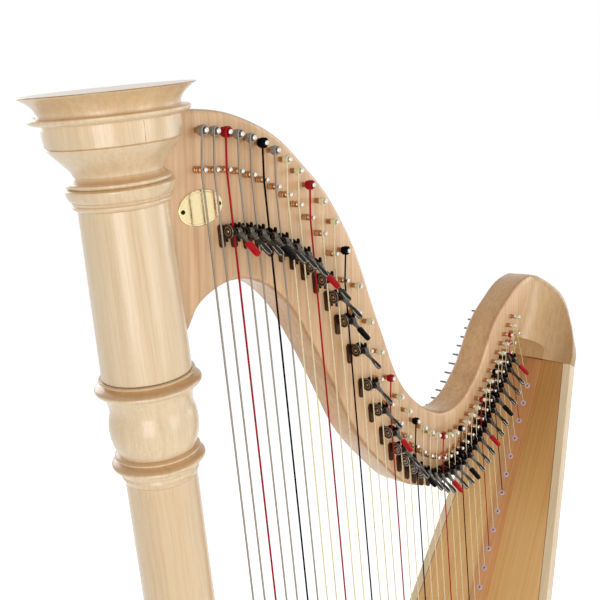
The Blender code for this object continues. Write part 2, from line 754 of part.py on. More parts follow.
def build_name_plate():
    front = NECK_NEAR - GAP - PLATE_THICKNESS

    def oval(bm):
        bmesh.ops.create_cone(
            bm, cap_ends=True, segments=24, radius1=1.0, radius2=1.0, depth=1.0,
            matrix=Matrix.Translation(place(PLATE_X, front + PLATE_THICKNESS / 2, PLATE_Z))
            @ Matrix.Rotation(math.pi / 2, 4, "X")
            @ Matrix.Diagonal((PLATE_HALF_LENGTH * MM, PLATE_HALF_HEIGHT * MM,
                               PLATE_THICKNESS * MM, 1)))
    plate = add("name_plate", mesh_of("name_plate", oval), "brass")

    def screw_room(bm):
        for side in (-1, 1):
            x = PLATE_X + side * SCREW_SPREAD
            rod(bm, place(x, front - 3, PLATE_Z), place(x, NECK_NEAR + 3, PLATE_Z), SCREW_HOLE_RADIUS, 8)
    boolean(plate, add("plate_holes", mesh_of("plate_holes", screw_room)))

    for name, side in (("left", -1), ("right", 1)):
        x = PLATE_X + side * SCREW_SPREAD
        head = front - GAP

        def screw(bm):
            rod(bm, place(x, head - SCREW_HEAD_HEIGHT, PLATE_Z), place(x, head, PLATE_Z), 1.7, 10,
                end_radius=2.4)
        thing = add("plate_screw_" + name, mesh_of("plate_screw_" + name, screw), "brass")
        shank = mesh_of("shank_" + name, lambda bm: rod(
            bm, place(x, head - SCREW_HEAD_HEIGHT / 2, PLATE_Z), place(x, NECK_NEAR + 7, PLATE_Z),
            SCREW_SHANK_RADIUS, 8))
        boolean(thing, add("shank_" + name, shank), "UNION")


def lever_finish(string):
    """Strings run A B C D E F G from the first one; C grips are red, F grips black."""
    note = "ABCDEFG"[(string - 1) % 7]
    return {"C": "red_grip", "F": "black_grip"}.get(note, "dark_bronze")


def build_lever(string):
    """A cam on its axle between the bracket's cheeks, and a flat grip."""
    x, z = axle_place(string)
    origin = place(x, AXLE_Y, z)
    length = LONG_HANDLE if string <= LAST_LONG_HANDLE else SHORT_HANDLE

    def along(distance, across=0.0):
        outward = -math.cos(HANDLE_ANGLE) * distance - math.sin(HANDLE_ANGLE) * across
        down = -math.sin(HANDLE_ANGLE) * distance + math.cos(HANDLE_ANGLE) * across
        return outward, down

    def bar(bm, near, far, half_wide, half_thick):
        """A flat bar along the handle between two distances from the axle."""
        corners = [along(near, -half_thick), along(far, -half_thick),
                   along(far, half_thick), along(near, half_thick)]
        outline = [Vector((-half_wide, v, w)) * MM for v, w in corners]
        prism(bm, outline, Vector((2 * half_wide, 0, 0)) * MM)

    def cam(bm):
        side = Vector((CAM_HALF_WIDTH, 0, 0)) * MM
        rod(bm, -side, side, CAM_RADIUS, 10)
    name = "lever_%02d" % string
    lever = add(name, mesh_of(name, cam), lever_finish(string))
    arm = add(name + "_arm", mesh_of(name + "_arm", lambda bm: bar(
        bm, 1.0, GRIP_START + 1.0, ARM_HALF_WIDTH, ARM_HALF_THICKNESS)))
    grip = add(name + "_grip", mesh_of(name + "_grip", lambda bm: bar(
        bm, GRIP_START, length, GRIP_HALF_WIDTH, GRIP_HALF_THICKNESS)))
    for thing in (lever, arm, grip):
        thing.location = origin
    boolean(lever, arm, "UNION")
    boolean(lever, grip, "UNION")


def build_harp():
    build_column()
    build_neck()
    build_shoulder_block()
    build_body()
    build_soundboard()
    build_strings()
    build_base()
    build_name_plate()
    for string in range(FIRST_LEVER, LAST_LEVER + 1):
        build_lever(string)


build_harp()
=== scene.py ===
"""The looks of a forty-string lever harp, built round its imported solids.

Lengths are in millimetres, and MM makes them metres. As in the solids' source, x runs
from the column's axis towards the body, y from the strings towards the far side, and z
up from the column's rim, so it is negative. On the soundboard, s runs down from the
last eyelet and n behind it.
"""

from math import cos, pi, radians, sin

import bmesh
import bpy
import numpy as np
from mathutils import Matrix, Vector


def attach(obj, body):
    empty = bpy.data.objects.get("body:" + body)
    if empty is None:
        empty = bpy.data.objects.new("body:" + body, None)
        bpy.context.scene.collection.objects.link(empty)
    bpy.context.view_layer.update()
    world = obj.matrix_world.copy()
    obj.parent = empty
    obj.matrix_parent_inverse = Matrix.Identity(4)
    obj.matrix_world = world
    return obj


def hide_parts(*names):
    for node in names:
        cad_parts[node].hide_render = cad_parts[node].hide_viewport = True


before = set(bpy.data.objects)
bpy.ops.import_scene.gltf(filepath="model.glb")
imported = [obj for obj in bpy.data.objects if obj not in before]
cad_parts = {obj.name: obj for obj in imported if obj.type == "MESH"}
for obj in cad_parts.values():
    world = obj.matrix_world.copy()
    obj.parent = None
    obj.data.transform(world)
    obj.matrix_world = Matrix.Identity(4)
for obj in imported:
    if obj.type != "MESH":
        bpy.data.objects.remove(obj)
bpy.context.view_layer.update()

MM = 0.001
GAP = 0.3
WELD = 0.00001

OVERALL_HEIGHT = 1520
COLUMN_TO_CENTRE = 336.4
COLUMN_Y = 34

BASE_THICKNESS = 45
FOOT_HEIGHT = 35
BASE_TOP = FOOT_HEIGHT + BASE_THICKNESS - OVERALL_HEIGHT
BASE_SIDE = [(-60, 62), (-30, 92), (20, 140), (70, 188), (135, 205), (215, 180), (285, 130), (330, 70)]
FEET = {"front": (-20, 60), "rear": (295, 75)}
SIDES = {"near": -1, "far": 1}
COLUMN_FOOT_HEIGHT = 40

NECK_NEAR = 13
NECK_FAR = 55
NECK_EDGE_RADIUS = 6

BOARD_SLOPE = radians(58)
BOARD_X = 639.8
BOARD_Z = -491.8
BOARD_TOP_S = -42
BOARD_BOTTOM_S = 1108
BOARD_THICKNESS = 4
BOARD_HALF_WIDTH = 61.5
BOARD_WIDENING = 0.136
BOARD_WIDENING_EASE = 2.5e-5
EDGE_BAND_WIDTH = 11
BINDING_WIDTH = 4.5
INNER_LINE_WIDTH = 1
INLAY_GAP = 0.05
STRIP_HALF_WIDTH = 12.5
STRIP_TOP_S = -41
STRIP_BOTTOM_S = 1100
STRIP_FRONT = -2.8
EYELET_STEP = 25.9
EYELET_STEP_GROWTH = 0.048

SHELL_THICKNESS = 5
SHELL_STRAIGHT_EDGE = 15
SHELL_HALF_ANGLE = radians(64)
SHELL_BOTTOM_S = 1135
SHELL_ROWS = 40
SOUND_HOLES = [(160, 42, 17), (415, 55, 24), (705, 60, 30), (930, 46, 34)]

STRING_COUNT = 40
STRINGS = range(1, STRING_COUNT + 1)
LEVER_STRINGS = range(3, 39)
LAST_WOUND = 7
BASS_STRING_RADIUS = 0.9
TREBLE_STRING_RADIUS = 0.36
COIL_PITCH = 2.1
COIL_TURNS = 3.2
COIL_STEPS = 64
SEMITONE = 0.0561
LONG_STRING_EASING = 1 / 5520
AXLE_DROP = 3

PIN_RADIUS = 2.5
PIN_NEAR = -2.9
PIN_FAR = 78.3
PIN_END = 18
PIN_ROOT = 6.5
BRIDGE_NEAR = -3
BRIDGE_RADIUS_AT_STRING = 2.3

AXLE_Y = -6
CAM_RADIUS = 4
CAM_HALF_WIDTH = 2.4
LAST_LONG_HANDLE = 12
LONG_HANDLE = (32, 0.92)
SHORT_HANDLE = (27.5, 0.8)
SLEEVE_GROWTH = 0.9
HANDLE_ANGLE = radians(41)
HANDLE_OUT = Vector((0, -cos(HANDLE_ANGLE), -sin(HANDLE_ANGLE))) * MM
HANDLE_ACROSS = Vector((0, -sin(HANDLE_ANGLE), cos(HANDLE_ANGLE))) * MM
BRACKET_HALF_WIDTH = 4.3
BRACKET_SLOT = 2.9
BRACKET_BELOW = 10.5
FRET_FRONT = 1.6
HUB_Y = 3.2
HUB_RADIUS = 7.1
NOSE_RADIUS = 2.3
FLANGE_X = -5.5

PLATE_X = 70.5
PLATE_Z = -117
PLATE_HALF_LENGTH = 27
PLATE_HALF_HEIGHT = 17
PLATE_THICKNESS = 1.5
SCREW_SPREAD = 22.5

# Each key string's tuning pin and bridge pin, as x, z, x, z.
PIN_KEYS = {
    1: (76.6, -45.9, 70.2, -81.2), 4: (120.8, -55.3, 116.3, -89.8),
    7: (167.8, -77.5, 163.9, -113.2), 10: (214.3, -120.5, 209.5, -153.8),
    12: (247.1, -166.2, 242.2, -200.3), 13: (261.4, -201.2, 255.5, -233.5),
    14: (277.7, -245.6, 271.7, -275.5), 15: (292.5, -292.1, 287.1, -325.2),
    16: (306.5, -332.7, 301.5, -364.5), 17: (323.3, -371, 317.9, -402.2),
    19: (351.7, -423.2, 347, -454.8), 22: (395.2, -468.3, 389.7, -497.9),
    26: (450, -490.4, 445.3, -516.9), 30: (504.4, -475.6, 499.6, -501.5),
    35: (564.5, -430.6, 559.5, -456.3), 40: (620.2, -381, 617.7, -404.6),
}
NECK_TOP = [
    (20, -23), (75, -26), (115, -33), (147, -45), (187, -68), (218, -98), (248, -131),
    (282, -186), (325, -306), (365, -401), (402, -439), (458, -464), (490, -459),
    (525, -437), (586, -372), (617, -355), (649, -341), (691, -338), (715, -342),
]
NECK_BOTTOM = [
    (650, -408), (620, -430), (586, -456), (555, -488), (519, -520), (476, -541),
    (446, -548), (417, -552), (381, -540), (350, -522), (313, -483), (266, -421),
    (237, -357), (204, -288), (177, -241), (150, -214), (120, -199), (99, -196),
    (76, -200), (56, -209), (40, -228), (20, -246),
]
CAPITAL_LIP = [(76.4, 0), (77, 0.5), (76.2, 1.3)]
CAPITAL_BEAD = [(62, 18.3), (65.8, 18.2), (69.2, 19), (70.5, 20.7), (69.9, 22.6), (67.4, 24.3),
                (64, 25.2), (61, 25.5)]
CAPITAL_BAND = [(60.3, 26.2), (60.5, 33), (59.4, 44.5), (58.2, 45.2), (58.8, 46)]
CAPITAL_BELL = [(56, 49.8), (52.3, 54.2), (48.3, 58.6), (44.6, 62.7), (41.6, 66.5), (39.9, 69.7),
                (39.5, 71.7)]
COLLAR_UPPER_RING = [(41, 74.2), (43.6, 76.6), (46, 77.3), (46.6, 78.8), (45.8, 80.5), (43.8, 81.4)]
COLLAR_LOWER_RING = [(47.2, 82), (48.3, 83.2), (48.1, 86), (47.1, 89.4), (45.5, 92.5)]
TURNED_STEPS = 96
GLUE_LINE_ANGLE = radians(-100.5)
BLOCK_NECK_DEPTH = -42
BLOCK_ARCH = [(-55.5, -55), (-50.5, -80), (-38.5, -110), (-20, -139), (4, -157), (28, -164), (55, -166)]
BLOCK_SIDE = [(-154.5, -42), (-162, -22), (-163, -4), (-157, 14), (-143, 30), (-118, 42), (-85, 48)]
NOTCH_CENTRE_Y = 3
NOTCH_HALF_WIDTH = 26
NOTCH_HEIGHT = 22
NOTCH_FLOOR = -8
LEAN_HEIGHT = 70
LEAN_START_DEPTH = 12
LEAN = 0.017
CROWN_STEP = 4
CROWN_ROUNDS = 26
CROWN_LOW_S = -70
CROWN_HIGH_S = -110

# The camera, fitted to the photograph. Its axes are right, up and back.
CAMERA_PLACE = (-0.8169, -0.6283, 1.5409)
CAMERA_AXES = ((0.6674, -0.7387, -0.0952), (0.2375, 0.0899, 0.9672), (-0.7058, -0.6681, 0.2354))
CAMERA_LENS = 54.83
CAMERA_SHIFT_Y = -0.055


def place(x, y, z):
    """A point of the harp's frame, in metres in the world."""
    return Vector((x - COLUMN_TO_CENTRE, y, z + OVERALL_HEIGHT)) * MM


def board_xz(s, n):
    right, up = cos(BOARD_SLOPE), sin(BOARD_SLOPE)
    return BOARD_X - s * right + n * up, BOARD_Z - s * up - n * right


def on_board(y, s, n):
    """A point of the board's frame, in metres in the world."""
    x, z = board_xz(s, n)
    return place(x, y, z)


BOARD_ORIGIN = on_board(0, 0, 0)
BOARD_DOWN = (on_board(0, 1, 0) - BOARD_ORIGIN).normalized()
BOARD_BACK = (on_board(0, 0, 1) - BOARD_ORIGIN).normalized()


def smooth_value(knots, values, wanted):
    """Smooth values between known ones: cubic steps with the values' own slopes."""
    slopes = np.gradient(values, knots, axis=0)
    i = int(np.clip(np.searchsorted(knots, wanted, side="right") - 1, 0, len(knots) - 2))
    span = knots[i + 1] - knots[i]
    t = (wanted - knots[i]) / span
    a, b, da, db = values[i], values[i + 1], slopes[i] * span, slopes[i + 1] * span
    return tuple(a + t * da + t * t * (3 * (b - a) - 2 * da - db) + t ** 3 * (2 * (a - b) + da + db))


def pin_places(string):
    """Where the string's tuning pin and bridge pin are, smooth between the key strings."""
    strings = sorted(PIN_KEYS)
    values = np.array([PIN_KEYS[key] for key in strings], dtype=float)
    return smooth_value(np.array(strings, dtype=float), values, string)


def smooth_line(points, per_span):
    """A smooth line through the points, with per_span steps between neighbours."""
    values = np.array(points, dtype=float)
    lengths = np.linalg.norm(np.diff(values, axis=0), axis=1)
    knots = np.concatenate(([0], np.cumsum(lengths)))
    line = []
    for start, end in zip(knots, knots[1:]):
        line += [smooth_value(knots, values, start + (end - start) * k / per_span) for k in range(per_span)]
    return line + [tuple(values[-1])]


def arc(start, end, steps):
    """(cosine, sine) at even steps from one angle to another."""
    angles = [start + (end - start) * k / steps for k in range(steps + 1)]
    return [(cos(angle), sin(angle)) for angle in angles]


def circle(steps):
    return arc(0, 2 * pi, steps)[:-1]


def half_width(s):
    """Half the soundboard's full width, measured over the binding."""
    return BOARD_HALF_WIDTH + BOARD_WIDENING * s - BOARD_WIDENING_EASE * s * s


def eyelet_s(string):
    steps = STRING_COUNT - string
    return EYELET_STEP * steps + EYELET_STEP_GROWTH * steps * steps


def string_radius(string):
    share = (string - 1) / (STRING_COUNT - 1)
    return BASS_STRING_RADIUS + share * (TREBLE_STRING_RADIUS - BASS_STRING_RADIUS)


def note_of(string):
    return "ABCDEFG"[(string - 1) % 7]


PINS = {string: pin_places(string) for string in STRINGS}


def string_route(string):
    """Where the string passes its bridge pin, and its eyelet, as (x, z)."""
    x, z = PINS[string][2:]
    beside = BRIDGE_RADIUS_AT_STRING + GAP + string_radius(string)
    return (x - beside, z), board_xz(eyelet_s(string), -1.5)


def axle_place(string):
    """The lever axle's (x, z), on the string's line under its bridge pin."""
    bridge, eyelet = string_route(string)
    length = bridge[1] - eyelet[1]
    drop = AXLE_DROP + SEMITONE * length * (1 - LONG_STRING_EASING * length)
    return bridge[0] + drop / length * (eyelet[0] - bridge[0]), bridge[1] - drop


AXLES = {string: axle_place(string) for string in LEVER_STRINGS}


# Materials

def node_material(name):
    made = bpy.data.materials.new(name)
    made.use_nodes = True
    return made.node_tree, made.node_tree.nodes["Principled BSDF"]


def feed(tree, node, values):
    """Link the sockets that are given another socket, and set those given a value."""
    for name, value in values.items():
        if hasattr(value, "is_linked"):
            tree.links.new(value, node.inputs[name])
        else:
            node.inputs[name].default_value = value


def add_node(tree, kind, inputs=(), **settings):
    node = tree.nodes.new(kind)
    for key, value in settings.items():
        setattr(node, key, value)
    feed(tree, node, dict(inputs))
    return node


NO_TURN = (0, 0, 0)
ALONG_BOARD = (0, pi / 2 - BOARD_SLOPE, 0)


def object_coordinates(tree, scale, turn):
    """The piece's own coordinates, in metres, turned and then scaled."""
    source = add_node(tree, "ShaderNodeTexCoord").outputs["Object"]
    inputs = {"Vector": source, "Rotation": turn, "Scale": [1 / value for value in scale]}
    return add_node(tree, "ShaderNodeMapping", inputs, vector_type="TEXTURE").outputs["Vector"]


def noise(tree, scale, turn, detail=3, rough=0.5, distortion=0):
    inputs = {"Vector": object_coordinates(tree, scale, turn), "Scale": 1, "Detail": detail,
              "Roughness": rough, "Distortion": distortion}
    return add_node(tree, "ShaderNodeTexNoise", inputs).outputs["Fac"]


def ramp(tree, factor, stops):
    """A colour ramp from a list of (position, colour)."""
    node = add_node(tree, "ShaderNodeValToRGB", {"Fac": factor})
    ends = node.color_ramp.elements
    while len(ends) < len(stops):
        ends.new(0.5)
    for element, (position, colour) in zip(ends, stops):
        element.position = position
        element.color = (*colour, 1)
    return node.outputs["Color"]


def grey(value):
    return (value, value, value)


def two_greys(tree, factor, low, high):
    return ramp(tree, factor, [(0.3, grey(low)), (0.7, grey(high))])


MIX_FACTOR, MIX_FIRST, MIX_SECOND, MIX_RESULT = 0, 6, 7, 2


def mix(tree, factor, first, second, blend="MIX"):
    """Two colours mixed; each is a socket, or red, green and blue."""
    node = add_node(tree, "ShaderNodeMix", data_type="RGBA", blend_type=blend)
    first, second = (c if hasattr(c, "is_linked") else (*c, 1) for c in (first, second))
    feed(tree, node, {MIX_FACTOR: factor, MIX_FIRST: first, MIX_SECOND: second})
    return node.outputs[MIX_RESULT]


def shade(tree, colour, share, factor, stops):
    """A colour darkened by a ramp over factor."""
    return mix(tree, share, colour, ramp(tree, factor, stops), "MULTIPLY")


def math_node(tree, operation, *values):
    return add_node(tree, "ShaderNodeMath", enumerate(values), operation=operation).outputs[0]


def bump(tree, shader, height, strength, distance=0.0002):
    node = add_node(tree, "ShaderNodeBump", {"Strength": strength, "Distance": distance, "Height": height})
    tree.links.new(node.outputs["Normal"], shader.inputs["Normal"])


def apply_tone_and_shade_gradients(tree, colour, tone_and_shade_gradients):
    """Slow changes of tone along an axis, some of them painted shade: each gives an axis, the place on it
    where the tone is full, the place where it is gone, and the tone."""
    for axis, full, gone, tone in tone_and_shade_gradients:
        source = add_node(tree, "ShaderNodeTexCoord").outputs["Object"]
        along = add_node(tree, "ShaderNodeVectorMath", {0: source, 1: axis}, operation="DOT_PRODUCT")
        inputs = {"Value": along.outputs["Value"], "From Min": min(full, gone), "From Max": max(full, gone),
                  "To Min": float(full < gone), "To Max": float(full > gone)}
        share = add_node(tree, "ShaderNodeMapRange", inputs, interpolation_type="SMOOTHSTEP")
        colour = mix(tree, share.outputs[0], colour, tone, "MULTIPLY")
    return colour


def painted_facing_shade(tree, colour, axis, shade_stops):
    """Painted shade by the way a surface faces: a ramp's stops over its normal's part along Z, or along Y to
    either side, darken the colour."""
    source = add_node(tree, "ShaderNodeTexCoord").outputs["Normal"]
    facing_shade = add_node(tree, "ShaderNodeSeparateXYZ", {0: source}).outputs[axis]
    if axis == "Y":
        facing_shade = math_node(tree, "ABSOLUTE", facing_shade)
    return shade(tree, colour, 1, facing_shade, shade_stops)


def maple(name, light=(0.84, 0.66, 0.42), dark=(0.7, 0.5, 0.28), figure=0.5, turn=NO_TURN, flecks=0,
          coat=0.35, tone_and_shade_gradients=(), facing_shade=None):
    """Lacquered maple whose grain runs along z once turned: broad soft bands, fine
    streaks, and the small pale flecks of its rays."""
    tree, shader = node_material(name)
    broad = noise(tree, (26, 26, 1.1), turn, distortion=0.6)
    streak = noise(tree, (260, 260, 5), turn, 4, 0.6, 0.3)
    fine = noise(tree, (900, 900, 22), turn, 2, 0.6)
    middle = tuple(0.5 * (a + b) for a, b in zip(light, dark))
    colour = ramp(tree, broad, [(0.28, dark), (0.52, light), (0.78, middle)])
    colour = shade(tree, colour, figure, streak, [(0.34, (0.76, 0.72, 0.66)), (0.58, grey(1))])
    colour = shade(tree, colour, 0.35, fine, [(0.38, (0.86, 0.78, 0.68)), (0.52, grey(1))])
    if flecks:
        spots = noise(tree, (900, 900, 260), turn, 1, 0.4)
        area = noise(tree, (18, 18, 2), turn, 1)
        spots = ramp(tree, spots, [(0.62, grey(0)), (0.7, grey(1))])
        there = shade(tree, spots, 1, area, [(0.52, grey(0)), (0.62, grey(flecks))])
        colour = mix(tree, there, colour, tuple(min(1, value * 1.22) for value in light))
    colour = apply_tone_and_shade_gradients(tree, colour, tone_and_shade_gradients)
    # Painted shade by the way each surface faces, where given.
    if facing_shade:
        colour = painted_facing_shade(tree, colour, *facing_shade)
    feed(tree, shader, {"Base Color": colour, "Roughness": two_greys(tree, streak, 0.38, 0.3),
                        "Coat Weight": coat, "Coat Roughness": 0.2})
    bump(tree, shader, fine, 0.04)


def spruce(name, light, dark, tone_and_shade_gradients=()):
    """Spruce with straight growth rings along the soundboard."""
    tree, shader = node_material(name)
    wander = noise(tree, (14, 14, 1.2), ALONG_BOARD)
    rings = noise(tree, (1, 480, 1.2), ALONG_BOARD, 2, 0.6, 0.15)
    fine = noise(tree, (700, 1400, 9), ALONG_BOARD, 2, 0.6)
    colour = ramp(tree, wander, [(0.3, dark), (0.7, light)])
    colour = shade(tree, colour, 0.55, rings, [(0.36, (0.8, 0.7, 0.56)), (0.56, grey(1))])
    colour = shade(tree, colour, 0.5, fine, [(0.35, (0.9, 0.84, 0.76)), (0.6, grey(1))])
    feed(tree, shader, {"Base Color": apply_tone_and_shade_gradients(tree, colour, tone_and_shade_gradients), "Coat Weight": 0.3,
                        "Roughness": two_greys(tree, rings, 0.42, 0.34), "Coat Roughness": 0.2})
    bump(tree, shader, rings, 0.15)


def mottled(name, scale, light, dark, rough_dark, rough_light, values, strength, distance):
    """A material whose colour and roughness wander a little."""
    tree, shader = node_material(name)
    wander = noise(tree, grey(scale), NO_TURN, rough=0.6)
    feed(tree, shader, {"Base Color": ramp(tree, wander, [(0.3, dark), (0.7, light)]),
                        "Roughness": two_greys(tree, wander, rough_dark, rough_light), **values})
    bump(tree, shader, wander, strength, distance)


def metal(name, light, dark, rough):
    mottled(name, 300, light, dark, rough + 0.1, rough - 0.05, {"Metallic": 1}, 0.05, 0.0002)


def plastic(name, light, dark, rough, transmission=0, gloss=0.5):
    values = {"Transmission Weight": transmission, "Specular IOR Level": gloss}
    mottled(name, 180, light, dark, rough + 0.06, rough, values, 0.04, 0.0003)


def wound_wire(name):
    """The bass strings' winding: fine rings along the string."""
    tree, shader = node_material(name)
    inputs = {"Vector": object_coordinates(tree, (1, 1, 420), NO_TURN), "Scale": 1, "Distortion": 0}
    wave = add_node(tree, "ShaderNodeTexWave", inputs, wave_type="BANDS", bands_direction="Z").outputs["Fac"]
    rings = ramp(tree, wave, [(0.2, (0.12, 0.1, 0.08)), (0.8, (0.4, 0.35, 0.28))])
    feed(tree, shader, {"Base Color": rings, "Metallic": 0.75, "Roughness": 0.38})
    bump(tree, shader, wave, 0.5)


UP = (0, 0, 1)
# Column: the first gradient is painted shade in the capital's cove and lip, above z 1.5 m; the second
# darkens the shaft below z 1.15 m; the facing tones paint shade on upward-facing ledges.
maple("column_maple", (0.79, 0.612, 0.393), (0.73, 0.54, 0.322), 0.35, flecks=0.3, coat=0.6,
      tone_and_shade_gradients=[(UP, 1.512, 1.5, (0.98, 0.92, 0.84)), (UP, 1.15, 1.17, (0.94, 0.9, 0.85))],
      facing_shade=("Z", [(0.3, grey(1)), (0.62, (0.78, 0.62, 0.46)), (0.92, (0.72, 0.56, 0.4)), (0.98, grey(1))]))
# Neck: the facing tones paint shade on its top and its rounded edges, which face neither side.
maple("neck_maple", (0.78, 0.52, 0.3), (0.66, 0.395, 0.2), 0.75, turn=(0, 0.12, 0),
      facing_shade=("Y", [(0, (0.9, 0.795, 0.6)), (0.25, (0.74, 0.6, 0.42)),
                    (0.6, (0.72, 0.58, 0.4)), (0.8, (1, 0.98, 0.95))]))
# The block's gradient makes it darker towards its near side.
maple("block_maple", (0.68, 0.45, 0.225), (0.6, 0.37, 0.165), 0.6, turn=(0, 0.3, 0),
      tone_and_shade_gradients=[((0, 1, 0), -0.052, 0, (0.7, 0.6, 0.44))])
maple("body_maple", turn=ALONG_BOARD)
maple("base_maple", turn=(0, pi / 2, 0))
# The board's gradient is a painted shadow of the neck: darker above z 1.05 m, gone by 0.82 m.
spruce("board_spruce", (0.86, 0.52, 0.2), (0.75, 0.42, 0.14), [(UP, 1.05, 0.82, (0.7, 0.62, 0.5))])
spruce("inner_spruce", (0.74, 0.56, 0.34), (0.64, 0.46, 0.26))
# The strip's gradient is the same painted shade on its upper part.
maple("strip_wood", (0.73, 0.35, 0.125), (0.58, 0.245, 0.082), 0.6, turn=ALONG_BOARD,
      tone_and_shade_gradients=[(UP, 1.05, 0.82, (0.85, 0.84, 0.86))])
maple("binding_maple", (0.84, 0.67, 0.43), (0.77, 0.59, 0.36), 0.3, turn=ALONG_BOARD)
maple("purfling_wood", (0.34, 0.17, 0.07), (0.24, 0.11, 0.04), 0.4)
metal("pin_nickel", (0.8, 0.79, 0.76), (0.62, 0.6, 0.57), 0.22)
metal("bridge_pin_bronze", (0.56, 0.32, 0.165), (0.38, 0.19, 0.085), 0.28)
metal("pin_end_steel", (0.2, 0.2, 0.2), (0.09, 0.09, 0.09), 0.35)
metal("lever_dark_metal", (0.15, 0.138, 0.12), (0.06, 0.055, 0.047), 0.26)
# A bright metal that paints the highlight along the handles' edges.
metal("lever_rim_metal", (0.62, 0.6, 0.55), (0.36, 0.34, 0.3), 0.22)
metal("lever_panel_metal", (0.03, 0.03, 0.018), (0.014, 0.014, 0.009), 0.42)
metal("hub_bronze", (0.085, 0.05, 0.034), (0.035, 0.02, 0.013), 0.3)
metal("hub_drum_steel", (0.3, 0.28, 0.26), (0.14, 0.125, 0.115), 0.24)
metal("hub_screw_bronze", (0.36, 0.24, 0.14), (0.2, 0.12, 0.07), 0.28)
metal("horn_metal", (0.03, 0.022, 0.017), (0.012, 0.009, 0.007), 0.35)
metal("flange_bronze", (0.1, 0.045, 0.022), (0.05, 0.022, 0.011), 0.42)
metal("plate_brass", (0.9, 0.76, 0.46), (0.86, 0.7, 0.38), 0.13)
metal("screw_black", (0.03, 0.028, 0.024), (0.012, 0.011, 0.01), 0.35)
plastic("string_nylon", (0.86, 0.77, 0.47), (0.78, 0.67, 0.38), 0.25, 0.1, 0.3)
plastic("string_red", (0.4, 0.006, 0.01), (0.3, 0.004, 0.007), 0.4, gloss=0.1)
plastic("string_black", (0.004, 0.004, 0.004), (0.002, 0.002, 0.002), 0.5, gloss=0.02)
wound_wire("string_wound")
plastic("sleeve_red", (0.5, 0.008, 0.013), (0.4, 0.005, 0.009), 0.3, gloss=0.1)
plastic("sleeve_black", (0.004, 0.003, 0.004), (0.002, 0.002, 0.002), 0.3, gloss=0.05)
plastic("eyelet_lilac", (0.64, 0.49, 0.52), (0.55, 0.41, 0.44), 0.3, gloss=0.3)
# A dark disc that paints the shade inside each eyelet's hole.
plastic("eyelet_shade_disc", (0.1, 0.06, 0.07), (0.06, 0.035, 0.04), 0.5, gloss=0.1)
plastic("foot_rubber", (0.06, 0.06, 0.06), (0.035, 0.035, 0.035), 0.75)


# Building blocks

def paint(thing, material):
    thing.data.materials.clear()
    thing.data.materials.append(bpy.data.materials[material])


def finish_piece(thing, material, slot, body="frame", nodes=(), angle=35):
    """Give a piece its material, smooth shading and body; its slot is not used."""
    paint(thing, material)
    thing.data.shade_smooth()
    thing.data.set_sharp_from_angle(angle=radians(angle))
    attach(thing, body)
    if nodes:
        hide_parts(*nodes)


def link(name, data):
    thing = bpy.data.objects.new(name, data)
    bpy.context.scene.collection.objects.link(thing)
    return thing


def edit_mesh(thing, change, *args):
    """Let the function change work on the object's mesh through bmesh."""
    bm = bmesh.new()
    bm.from_mesh(thing.data)
    change(bm, *args)
    bm.to_mesh(thing.data)
    bm.free()


def face_outwards(bm):
    bmesh.ops.recalc_face_normals(bm, faces=bm.faces)


def mesh_object(name, build, *args):
    """An object whose mesh the function build fills through bmesh."""
    thing = link(name, bpy.data.meshes.new(name))
    edit_mesh(thing, build, *args)
    edit_mesh(thing, face_outwards)
    return thing


def make_piece(name, material, slot, build, *args, **more):
    finish_piece(mesh_object(name, build, *args), material, slot, **more)


def settle(thing):
    """Replace the object by its evaluated mesh."""
    bpy.context.view_layer.update()
    graph = bpy.context.evaluated_depsgraph_get()
    mesh = bpy.data.meshes.new_from_object(thing.evaluated_get(graph))
    mesh.transform(thing.matrix_world)
    if thing.type == "MESH":
        thing.modifiers.clear()
        thing.data = mesh
        thing.matrix_world = Matrix.Identity(4)
        return thing
    name = thing.name
    bpy.data.objects.remove(thing, do_unlink=True)
    return link(name, mesh)


def modify(thing, kind, **settings):
    """Apply a modifier."""
    step = thing.modifiers.new(kind, kind)
    for key, value in settings.items():
        setattr(step, key, value)
    settle(thing)


def cut(thing, operation, build, *args):
    """Apply a Boolean with a mesh that the function build fills."""
    cutter = mesh_object("cutter", build, *args)
    modify(thing, "BOOLEAN", operation=operation, object=cutter, solver="EXACT")
    bpy.data.objects.remove(cutter, do_unlink=True)


def prism(bm, outline, offset, edge=0):
    """Extrude an outline of world points, with a small chamfer round its two faces."""
    start = len(bm.verts)
    ring = [bm.verts.new(point) for point in outline]
    pulled = bmesh.ops.extrude_face_region(bm, geom=[bm.faces.new(ring)])
    moved = [item for item in pulled["geom"] if isinstance(item, bmesh.types.BMVert)]
    bmesh.ops.translate(bm, verts=moved, vec=offset)
    if edge:
        bm.verts.ensure_lookup_table()
        through = offset.normalized()
        edges = {e for v in bm.verts[start:] for e in v.link_edges
                 if abs((e.verts[1].co - e.verts[0].co).normalized().dot(through)) < 0.9}
        bmesh.ops.bevel(bm, geom=list(edges), offset=edge * MM, segments=2, affect="EDGES", profile=0.6,
                        clamp_overlap=True)


def rectangle(left, right, low, high):
    return [(left, low), (right, low), (right, high), (left, high)]


def board_prism(bm, outline, along, start, end):
    """Extrude an outline in the board's frame along y, s or n."""
    def at(pair, level):
        values = list(pair)
        values.insert("ysn".index(along), level)
        return on_board(*values)
    prism(bm, [at(pair, start) for pair in outline], at((0, 0), end) - at((0, 0), start))


def join_rings(bm, rings, steps, capped=False):
    """Faces between neighbouring rows of points, and over both ends where capped. A row
    of one point makes a tip."""
    for first, second in zip(rings, rings[1:]):
        for k in range(steps):
            quad = [first[k % len(first)], first[(k + 1) % len(first)],
                    second[(k + 1) % len(second)], second[k % len(second)]]
            corners = list(dict.fromkeys(quad))
            if len(corners) > 2:
                bm.faces.new(corners)
    if capped:
        bm.faces.new(rings[0][::-1])
        bm.faces.new(rings[-1])


